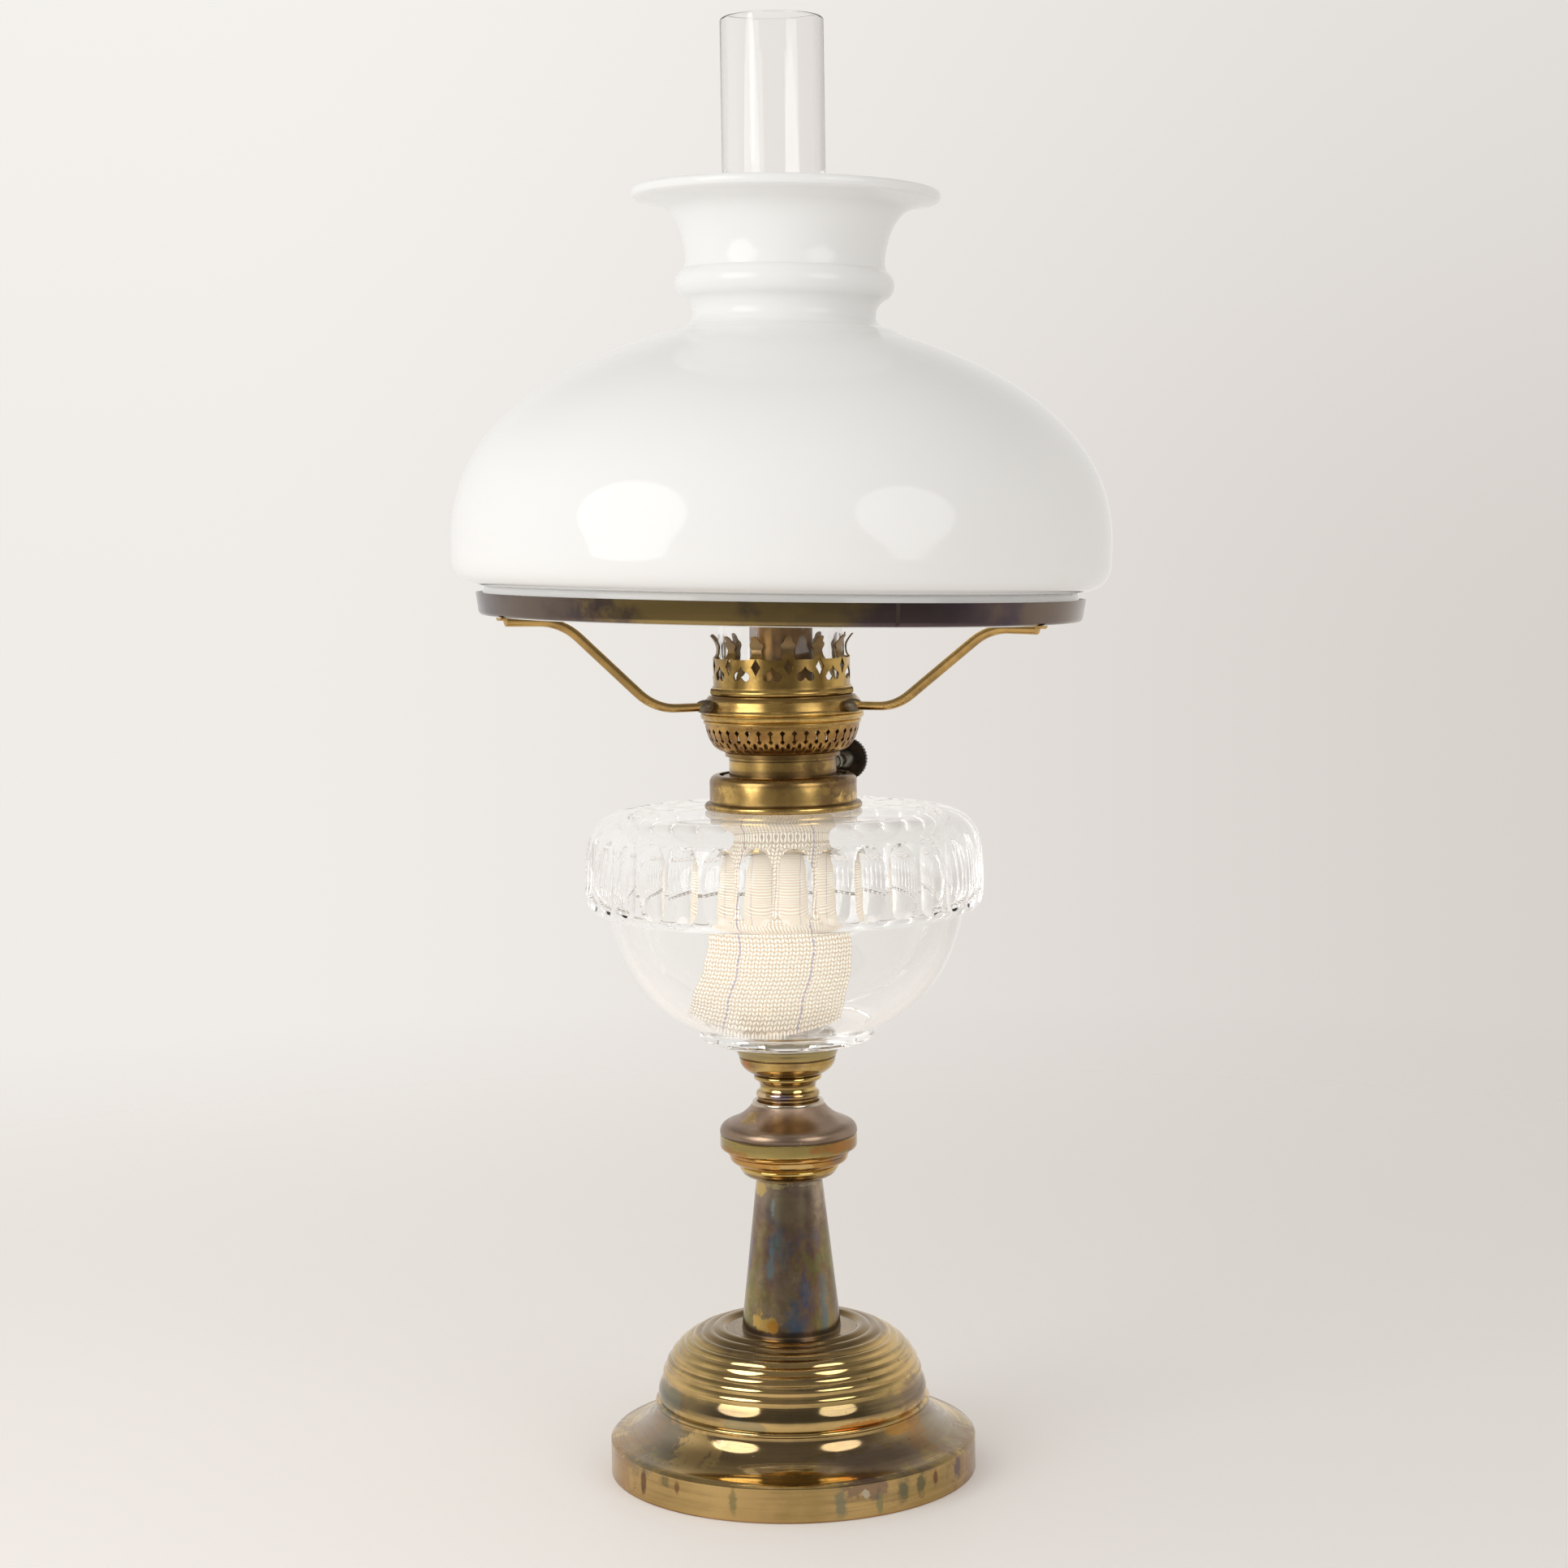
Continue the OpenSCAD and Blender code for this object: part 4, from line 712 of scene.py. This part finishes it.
# %% Plain finishes
def plain(name, colour, other, metallic, rough, scale):
    """A dull finish whose colour and roughness wander a little."""
    graph = Graph(bpy.data.materials.new(name))
    graph.give("Metallic", metallic)
    place = graph.add("ShaderNodeTexCoord", output="Object")
    patch = graph.noise(place, scale, 5.0, 0.6)
    graph.paint(1.0, graph.mix(graph.level(patch, 0.35, 0.65), colour, other))
    wander = graph.add("ShaderNodeMapRange", {0: patch, 3: rough - 0.1, 4: rough + 0.1})
    graph.give("Roughness", wander)
    grain = graph.noise(place, scale * 8, 4.0, 0.6)
    bump = graph.add("ShaderNodeBump", {"Strength": 0.3, "Distance": 0.0003, "Height": grain})
    graph.give("Normal", bump)
    return graph


solder = plain("solder", "#857a66", "#665b49", 0.6, 0.4, 220.0)
iron = plain("iron", "#3d3a37", "#292624", 0.6, 0.65, 160.0)
steel = plain("steel", "#9b968a", "#746d60", 0.9, 0.35, 300.0)
plaster = plain("plaster", "#ddd5c2", "#c6bca6", 0.0, 0.85, 120.0)
knob_black = plain("knob_black", "#2a221d", "#3a2f26", 0.0, 0.38, 260.0)
print("plain finishes:", [finish.owner.name for finish in (solder, iron, steel, plaster, knob_black)])

# %% [markdown]
# ### Glass
# Old clear glass is never quite flat, so a slow ripple lies in its surface. The walls here are as thick
# as the real ones, and glass that bends light a little less keeps them as calm as they look in a bright
# room. Opal glass lets no picture through: it is a white body under a thin gloss.

# %% Glass finishes
def glass(name, colour, ior, ripple_scale):
    """Clear glass that bends light, with a slow ripple in its surface."""
    graph = Graph(bpy.data.materials.new(name))
    graph.give("Base Color", colour)
    graph.give("Roughness", 0.0)
    graph.give("IOR", ior)
    graph.give("Transmission Weight", 1.0)
    ripple = graph.noise(graph.add("ShaderNodeTexCoord", output="Object"), ripple_scale, 1.0, 0.4)
    bump = graph.add("ShaderNodeBump", {"Strength": 0.05, "Distance": 0.001, "Height": ripple})
    graph.give("Normal", bump)
    return graph


clear_glass = glass("clear_glass", (0.997, 0.999, 0.997, 1.0), 1.34, 30.0)
chimney_glass = glass("chimney_glass", (0.997, 0.998, 0.997, 1.0), 1.32, 20.0)

opal_glass = Graph(bpy.data.materials.new("opal_glass"))
opal_glass.give("Roughness", 0.07)
opal_glass.give("IOR", 1.5)
opal_glass.give("Specular IOR Level", 0.2)
milk = opal_glass.noise(opal_glass.add("ShaderNodeTexCoord", output="Object"), 12.0, 3.0, 0.5)
opal_glass.paint(1.0, opal_glass.mix(milk, "#f3f3f1", "#f6f6f5"))
print("glass finishes:", [finish.owner.name for finish in (clear_glass, chimney_glass, opal_glass)])

# %% [markdown]
# ## Dressing the metal
# With the finishes ready, every rigid CAD node gets its smooth copy. A table of slot and finish does most
# of the work, and a second one names the pieces whose wear is their own. The pieces that are turned or
# woven anew further on are left out here.

# %% Rigid pieces
FINISH_OF_SLOT = {
    "foot_brass": foot_brass, "dark_brass": column_brass, "bright_brass": bright_brass,
    "collar_brass": collar_brass, "burner_brass": burner_brass, "brown_brass": brown_brass,
    "ring_brass": ring_brass, "arm_brass": arm_brass, "solder": solder, "iron": iron, "steel": steel,
    "plaster": plaster, "knob_black": knob_black,
}
FINISH_OF_NODE = {"knop_upper": knop_brass, "basket": basket_brass, "gallery_coronet": gallery_brass}
OWN_PIECES = {
    "knop_lower", "knop_upper", "stem_neck", "font_cup", "font", "chimney", "shade", "wick", "gallery_ring",
    "arm_solder",
}
for node in sorted(set(frame["nodes"]) - OWN_PIECES):
    smooth_copy(node, FINISH_OF_NODE.get(node, FINISH_OF_SLOT[SLOT_OF[node]]))
print("smooth copies:", len(frame["nodes"]) - len(OWN_PIECES))

# %% [markdown]
# ## Stem rings
# Between column and font sit four small turnings: the knop's stepped half, its bell, a waisted neck and a
# cup with a flared rim. Their charm is in small steps and beads that catch the light as thin lines, so
# they are turned anew from finer outlines. Each is a closed outline round the hole for the rod that
# clamps the stem.

# %% Stem rings
ROD_HOLE = 3.2
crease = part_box("knop_upper")[0].z / MM
stepped = (
    [(ROD_HOLE, -18.0), (13.4, -18.0), (14.8, -17.6)]
    + curve((15.4, -17.2), (18.6, -16.4), (19.4, -14.0), 6)
    + arc((18.9, -13.1), 1.0, -40, 70, 6)
    + [(20.6, -11.5)]
    + curve((21.8, -11.3), (23.2, -10.8), (23.7, -9.4), 6)
    + [(23.8, -8.2), (23.5, -7.8)]
    + arc((23.7, -7.0), 0.9, -60, 70, 8)
    + [(25.2, -5.9)]
    + curve((26.4, -5.7), (27.5, -5.4), (27.5, -4.0), 6)
    + [(27.5, -0.4), (27.2, 0.0), (25.0, 0.0), (12.2, -15.0), (ROD_HOLE, -15.0), (ROD_HOLE, -18.0)]
)
bell = (
    [(27.2, 0.1), (27.5, 0.6)]
    + curve((27.55, 1.2), (27.5, 3.6), (25.4, 4.8), 8)
    + curve((24.4, 5.3), (17.6, 7.6), (14.4, 12.4), 16)
    + arc((13.5, 12.9), 0.9, 0, 170, 8)
    + [(12.4, 12.2), (ROD_HOLE, 12.2), (ROD_HOLE, 11.0), (13.0, 11.0)]
    + [(22.0, 4.8), (25.0, 0.1), (27.2, 0.1)]
)
neck = (
    [(ROD_HOLE, 12.3), (11.9, 12.3), (11.9, 14.2)]
    + arc((11.0, 16.4), 1.75, -55, 75, 10)
    + curve((11.4, 18.3), (10.5, 20.2), (12.6, 22.2), 8)
    + arc((12.4, 23.3), 1.25, -60, 60, 8)
    + [(12.9, 24.5), (ROD_HOLE, 24.5), (ROD_HOLE, 12.3)]
)
cup = (
    [(ROD_HOLE, 24.5), (13.4, 24.5)]
    + curve((13.9, 24.7), (18.6, 26.5), (19.3, 30.6), 10)
    + [(19.4, 31.6), (19.3, 31.8)]
    + curve((19.6, 32.0), (19.9, 33.2), (20.9, 34.6), 6)
    + [(21.1, 35.2), (21.0, 35.9), (19.9, 35.9), (18.4, 32.0), (17.9, 29.0), (13.0, 25.7)]
    + [(ROD_HOLE, 25.7), (ROD_HOLE, 24.5)]
)
STEM_RINGS = (
    ("knop_lower", stepped, bright_brass), ("knop_upper", bell, knop_brass),
    ("stem_neck", neck, bright_brass), ("font_cup", cup, bright_brass),
)
for node, outline, finish in STEM_RINGS:
    dress(spun(node + "_piece", lifted(outline, crease), 96, 32), finish, node)

# %% [markdown]
# ## Solder
# Each arm of the shade holder is soldered to the bell, and the solder has run into a soft lump round its
# end. A stretched ball at the foot of each arm is enough, because most of it is buried in the metal.

# %% Solder lumps
LUMP_RADIUS = 33.4
LUMP_RISE = 3.4
LUMP_HALF_SIZES = (4.4, 3.2, 2.7)
ARM_AZIMUTHS = (206, 326, 86)
holder_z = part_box("tripod_base")[0].z / MM
stretch = Matrix.Diagonal((*LUMP_HALF_SIZES, 1.0))
outward = Matrix.Translation((LUMP_RADIUS * MM, 0, (holder_z + LUMP_RISE) * MM))
lumps = []
bpy.ops.object.select_all(action="DESELECT")
for azimuth in ARM_AZIMUTHS:
    bpy.ops.mesh.primitive_uv_sphere_add(segments=32, ring_count=20, radius=MM)
    lumps.append(bpy.context.object)
    lumps[-1].data.transform(Matrix.Rotation(math.radians(azimuth), 4, "Z") @ outward @ stretch)
for lump in lumps:
    lump.select_set(True)
bpy.ops.object.join()
bpy.ops.object.shade_smooth()
bpy.context.object.name = "arm_solder_piece"
dress(bpy.context.object, solder, "arm_solder")
print("solder lumps:", len(ARM_AZIMUTHS))

# %% [markdown]
# ## Opal shade
# The shade is blown opal glass: a straight fitter that drops into the ring, a low dome, a tight waist, a
# bulge and a flared crown. One line from the fitter up to the crown gives the outside, and the wall lies
# inside it. The holder's arms have been bent in use, so ring and shade lean a little to one side.

# %% Shade
SHADE_WALL = 3.0
RING_RISE = 37.6
LEDGE_THICKNESS = 1.2
SHADE_LEAN = math.radians(1.6)
ring_z = holder_z + RING_RISE
shade_line = (
    [(117.5, 0), (117.5, 9.0), (117.1, 10.0)]
    + curve((117.6, 10.4), (130.3, 11.0), (129.9, 23.4), 12)
    + curve((129.9, 26.4), (131.9, 83.9), (46, 109.9), 30)
    + curve((43, 111.5), (36, 112.9), (36, 116.9), 8)
    + curve((36.2, 118.9), (36.8, 121.3), (39, 122.9), 5)
    + arc((37, 128.9), 6.2, -62, 62, 12)
    + curve((39.2, 137.9), (40, 149.9), (45.5, 156.2), 14)
    + curve((46.3, 157.0), (49, 159.6), (58.1, 161.0), 8)
    + [(59.3, 161.3), (60.2, 162.0), (60.6, 163.0), (60.6, 164.0)]
)
shade = spun("shade_piece", lifted(walled(shade_line, SHADE_WALL), ring_z + LEDGE_THICKNESS), 160)
pivot = Matrix.Translation((0, 0, ring_z * MM))
shade.data.transform(pivot @ Matrix.Rotation(SHADE_LEAN, 4, "Y") @ pivot.inverted())
dress(shade, opal_glass, "shade")

# %% [markdown]
# ## Chimney
# The chimney is a thin clear tube with a wide foot that the gallery's prongs hold, and a pinch where the
# flame burns. Its ends are fire-polished, so they are rounded. Clear glass hardly dims a lamp behind it,
# so it casts no shadow here.

# %% Chimney
CHIMNEY_WALL = 1.8
chimney_low, chimney_high = (corner.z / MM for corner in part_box("chimney"))
chimney_line = (
    [(25.0, 0.9), (25.0, 20.0)]
    + curve((25.0, 40.0), (25.0, 49.0), (18.8, 51.0), 10)
    + curve((17.6, 54.0), (17.6, 62.0), (20.3, 80.0), 10)
    + [(20.3, chimney_high - chimney_low - 0.9)]
)
chimney = spun("chimney_piece", lifted(walled(chimney_line, CHIMNEY_WALL), chimney_low), 128)
chimney.visible_shadow = False
dress(chimney, chimney_glass, "chimney")

# %% [markdown]
# ## Cut glass font
# The font is a bowl of clear glass on a thin disc, with a thick band round its middle and a peg that is
# cemented in the cup. It is turned like the chimney, and gets as many columns of faces as the flutes in
# its band will need. A hair of air stays between the disc and the cup, because glass and plaster that
# share a face render black there.

# %% Font
FLUTES = 34
FLUTE_COLUMNS = 20
FONT_WALL = 4.2
FLOOR_THICKNESS = 5.2
BAND_RISE = 53.8
BAND_HALF = 9
AIR_GAP = 0.2
font_low, font_rim = (corner.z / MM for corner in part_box("font"))
font_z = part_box("font_cup")[1].z / MM
font_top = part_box("font_collar")[0].z / MM
font_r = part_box("font")[1].x / MM
band_z = font_z + BAND_RISE
band_middle = band_z + BAND_HALF
font_floor = font_z + FLOOR_THICKNESS
disc_z = font_z + AIR_GAP


def bowl(wall, z):
    """The side of the bowl from its foot disc up to the band, drawn in by a wall for the inside."""
    return curve((36 - 4 * wall, z), (64 - 1.2 * wall, font_z + 18 - wall), (71 - wall, band_z), 24)


font_line = (
    [(0, font_low), (9, font_low), (9, disc_z), (18.8, disc_z)]
    + curve((19.4, disc_z), (32, font_z + 0.5), (35, font_z + 4.2), 8)
    + [(35, font_z + 7.0)]
    + bowl(0, font_z + 7.6)
    + curve((71.4, band_z + 0.3), (font_r - 0.4, band_z + 0.6), (font_r, band_middle), 22)
    + [(font_r, band_middle + 0.9 * k) for k in range(1, 12)]
    + curve((font_r, band_middle + 11), (font_r - 0.3, font_top), (font_r - 19, font_top - 0.3), 34)
    + [(40, font_top - 0.1), (26.5, font_top), (26.5, font_rim), (23.8, font_rim)]
    + curve((23.8, font_top - 1), (23.8, font_top - 4.6), (28.8, font_top - 4.6), 5)
    + curve((font_r - 23, font_top - 6.2), (font_r - 9.5, font_top - 9.2),
            (font_r - 9.8, band_middle + 2), 14)
    + bowl(FONT_WALL, font_floor + 0.6)[::-1]
    + [(0, font_floor)]
)
font = spun("font_piece", font_line, FLUTES * FLUTE_COLUMNS, 24)

# %% [markdown]
# ### Ground flutes
# Thirty-four flutes are ground into the band by a wheel. A boolean cut would leave ragged triangles in
# clear glass, so every row of the band is worked as the wheel would: where the wheel reaches past the
# glass, columns close up to the edge of its cut, and what lies between them is pushed back onto the
# wheel. So the edge of each flute follows the mesh and stays crisp.

# %% Flutes
FLUTE_EDGE = 8
FLUTE_DEPTH = 1.8
FLUTE_LAND = 2.0
FLUTE_START = 8.2
FLUTE_END = 9.2
FLUTE_LEAN = math.radians(2.5)
FLUTE_AZIMUTH = math.radians(-87.2)
GROUND_DEPTH = 8.5
half_cut = math.pi * font_r / FLUTES - FLUTE_LAND / 2
wheel_r = (half_cut ** 2 + FLUTE_DEPTH ** 2) / (2 * FLUTE_DEPTH)
flute_low = band_z + FLUTE_START
flute_length = font_top - FLUTE_END - flute_low
column_angle = 2 * math.pi / (FLUTES * FLUTE_COLUMNS)


def wheel(r, z):
    """For a row of the band: the wheel's axis, its squared reach, and the angle to the edge of its cut."""
    along = min(max((z - flute_low) / math.cos(FLUTE_LEAN), 0), flute_length)
    axis = font_r - FLUTE_DEPTH + wheel_r - along * math.sin(FLUTE_LEAN)
    reach = wheel_r ** 2 - (z - flute_low - along * math.cos(FLUTE_LEAN)) ** 2
    if reach <= 0 or axis - math.sqrt(reach) >= r:
        return axis, reach, 0.0
    return axis, reach, math.acos((r * r + axis * axis - reach) / (2 * r * axis))


moved_points = 0
for vertex in font.data.vertices:
    x, y, z = (value / MM for value in vertex.co)
    r = math.hypot(x, y)
    axis, reach, edge = wheel(r, z)
    if edge == 0.0 or r < font_r - GROUND_DEPTH:
        continue
    column = round(math.atan2(y, x) / column_angle)
    flute = round(column / FLUTE_COLUMNS)
    offset = column - flute * FLUTE_COLUMNS
    side = math.copysign(1, offset)
    columns_off = abs(offset)
    if columns_off <= FLUTE_EDGE:
        local = edge * columns_off / FLUTE_EDGE
        r = axis * math.cos(local) - math.sqrt(max(reach - (axis * math.sin(local)) ** 2, 0))
    else:
        half = column_angle * FLUTE_COLUMNS / 2
        local = edge + (half - edge) * (columns_off - FLUTE_EDGE) / (FLUTE_COLUMNS / 2 - FLUTE_EDGE)
    angle = flute * FLUTE_COLUMNS * column_angle + side * local
    vertex.co = (r * math.cos(angle) * MM, r * math.sin(angle) * MM, z * MM)
    moved_points += 1
only(font)
font.data.transform(Matrix.Rotation(FLUTE_AZIMUTH, 4, "Z"))
bpy.ops.object.shade_smooth_by_angle(angle=math.radians(22))
font.visible_shadow = False
print("points ground by the wheel:", moved_points)
dress(font, clear_glass, "font")

# %% [markdown]
# ## Knurled gallery ring
# The gallery is unscrewed by a ring with fine vertical ribs for the fingers. A bead is turned with two
# columns for each rib, and every second column of the bead is pressed in.

# %% Gallery ring
RIBS = 250
RIB_DEPTH = 0.28
RING_BORE = 25.95
ring_low, ring_high = (corner.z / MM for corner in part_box("gallery_ring"))
knurl_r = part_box("gallery_ring")[1].x / MM
ring_height = ring_high - ring_low
ring_line = (
    [(RING_BORE, 0), (knurl_r - 0.9, 0), (knurl_r - 0.4, 0.35), (knurl_r, 0.8), (knurl_r, 2.2)]
    + [(knurl_r - 0.4, 2.7), (27.6, 3.0), (27.6, ring_height), (RING_BORE, ring_height), (RING_BORE, 0)]
)
gallery_ring = spun("gallery_ring_piece", lifted(ring_line, ring_low), RIBS * 2, 50)
rib_angle = math.pi / RIBS
for vertex in gallery_ring.data.vertices:
    r = vertex.co.xy.length / MM
    column = round(math.atan2(vertex.co.y, vertex.co.x) / rib_angle)
    if column % 2 and r > knurl_r - 0.45:
        vertex.co.xy *= (r - RIB_DEPTH) / r
dress(gallery_ring, burner_brass, "gallery_ring")

# %% [markdown]
# ## Woven wick
# The wick is a flat cotton strip, woven as wide as the burner's tube is round. In the tube it is rolled
# up; below it opens, and its lower end stands on the floor of the font and leans to one side. A grid is
# bent row by row: each row is an arc of the strip's own width, whose radius, place and height change down
# the strip.

# %% Wick
WICK_WIDTH = 63.0
WICK_THICKNESS = 1.2
WICK_ROWS = 140
WICK_COLUMNS = 44
WICK_TRAVEL = 8.0
CURL_FROM = 205
tube_low, tube_top = (corner.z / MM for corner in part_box("wick_tube"))
rolled_to = tube_low - WICK_TRAVEL - 0.8
wick_foot = font_floor + 1.4
# Height, radius of the roll, distance of its middle in front of the axis, shift to the right
wick_stations = [
    (tube_top - 1, 11.15, 11.15, 0.0), (rolled_to, 11.15, 11.15, 0.0), (rolled_to - 10, 18, 11.0, -0.9),
    (245, 24, 10.5, -2.5), (223, 31, 10.6, -3.6), (212, 39, 10.8, -2.2), (204, 46, 11.0, -3.4),
    (188, 66, 11.5, -7.4), (wick_foot, 74, 12.0, -9.4),
]
CORNER_LIFT_LEFT = 5.0
CORNER_LIFT_RIGHT = 3.5


def station(t):
    """The row at a share t of the way down, smoothly between the stations."""
    heights = [s[0] for s in wick_stations]
    z = heights[0] + (heights[-1] - heights[0]) * t
    i = max(k for k in range(len(heights) - 1) if heights[k] >= z - 1e-9)
    f = (heights[i] - z) / (heights[i] - heights[i + 1])
    f = f * f * (3 - 2 * f)
    return [a + (b - a) * f for a, b in zip(wick_stations[i], wick_stations[i + 1])][1:] + [z]


bpy.ops.object.select_all(action="DESELECT")
bpy.ops.mesh.primitive_grid_add(x_subdivisions=WICK_COLUMNS, y_subdivisions=WICK_ROWS, size=1.0)
wick = bpy.context.object
wick.name = "wick_piece"
for vertex in wick.data.vertices:
    s, t = vertex.co.x, 0.5 - vertex.co.y
    radius, front, shift, z = station(t)
    angle = WICK_WIDTH * s / radius
    low = min(max((CURL_FROM - z) / (CURL_FROM - wick_foot), 0.0), 1.0)
    curl = (CORNER_LIFT_LEFT if s < 0 else CORNER_LIFT_RIGHT) * (2 * s) ** 2 * low ** 2
    x = shift + radius * math.sin(angle)
    y = -front + radius * (1 - math.cos(angle))
    vertex.co = (x * MM, y * MM, (z + curl) * MM)
points = [vertex.co.copy() for vertex in wick.data.vertices]
middle_line = points[WICK_COLUMNS // 2::WICK_COLUMNS + 1]
length = sum((b - a).length for a, b in zip(middle_line, middle_line[1:]))
print("wick is", round(length / MM, 1), "mm long, rolled down to", round(rolled_to, 1))

only(wick)
bpy.ops.object.modifier_add(type="SOLIDIFY")
wick.modifiers["Solidify"].thickness = WICK_THICKNESS * MM
wick.modifiers["Solidify"].offset = 0.0
bpy.ops.object.modifier_apply(modifier="Solidify")
bpy.ops.object.shade_smooth_by_angle(angle=math.radians(50))

# %% [markdown]
# ### Cotton
# The strip's own UV map tells how far across and down a thread lies, so the weave follows every bend. A
# zigzag of small rungs makes the stitches, their grooves are lower and painted darker as shade, and two
# violet threads mark the strip. Light goes through cotton and glass many times, which a little glow,
# painted light, stands for.

# %% Cotton finish
STITCH_WIDTH = 1.4
STITCH_HEIGHT = 1.75
STITCH_SLANT = 0.7
STRIPES = (0.245, 0.715)
COTTON_GLOW = 0.28
cotton = Graph(bpy.data.materials.new("wick_cotton"))
cotton.give("Roughness", 0.95)
u, v, _ = cotton.split(cotton.add("ShaderNodeTexCoord", output="UV"))
across_mm = cotton.times(u, WICK_WIDTH)
down_mm = cotton.times(v, length / MM)
in_mm = cotton.join(across_mm, down_mm, 0.0)
zigzag = cotton.math("PINGPONG", across_mm, STITCH_WIDTH)
slanted = cotton.plus(down_mm, cotton.times(zigzag, STITCH_SLANT))
rung = cotton.math("FRACT", cotton.math("DIVIDE", slanted, STITCH_HEIGHT))
over = cotton.off(rung, 0.5)
beside = cotton.off(cotton.math("DIVIDE", zigzag, STITCH_WIDTH), 0.5)
between_rungs = cotton.level(over, 0.24, 0.5)
between_rows = cotton.level(beside, 0.28, 0.5)
groove_and_painted_shade = cotton.math("MAXIMUM", between_rungs, between_rows)
fuzz = cotton.noise(in_mm, 2.2, 4.0, 0.6)
cream = cotton.mix(fuzz, "#f6ead8", "#fdf4e6")
# The grooves between the stitches are painted darker: painted shade.
cotton.paint(1.0, cotton.mix(cotton.times(groove_and_painted_shade, 0.7), cream, "#c4b191"))
cotton.give("Emission Color", cotton.colour)
cotton.give("Emission Strength", COTTON_GLOW)
for stripe in STRIPES:
    line = cotton.level(cotton.off(u, stripe), 0.0115, 0.006)
    dash = cotton.level(cotton.noise(in_mm, 0.9, 1.0, 0.5), 0.38, 0.5)
    cotton.paint(cotton.times(cotton.times(line, dash), 0.8), "#9d93b2")
relief = cotton.plus(cotton.times(groove_and_painted_shade, -1.0), cotton.times(fuzz, 0.4))
bump = cotton.add("ShaderNodeBump", {"Strength": 1.0, "Distance": 0.0007, "Height": relief})
cotton.give("Normal", bump)
print("cotton has", len(cotton.tree.nodes), "nodes")
dress(wick, cotton, "wick")
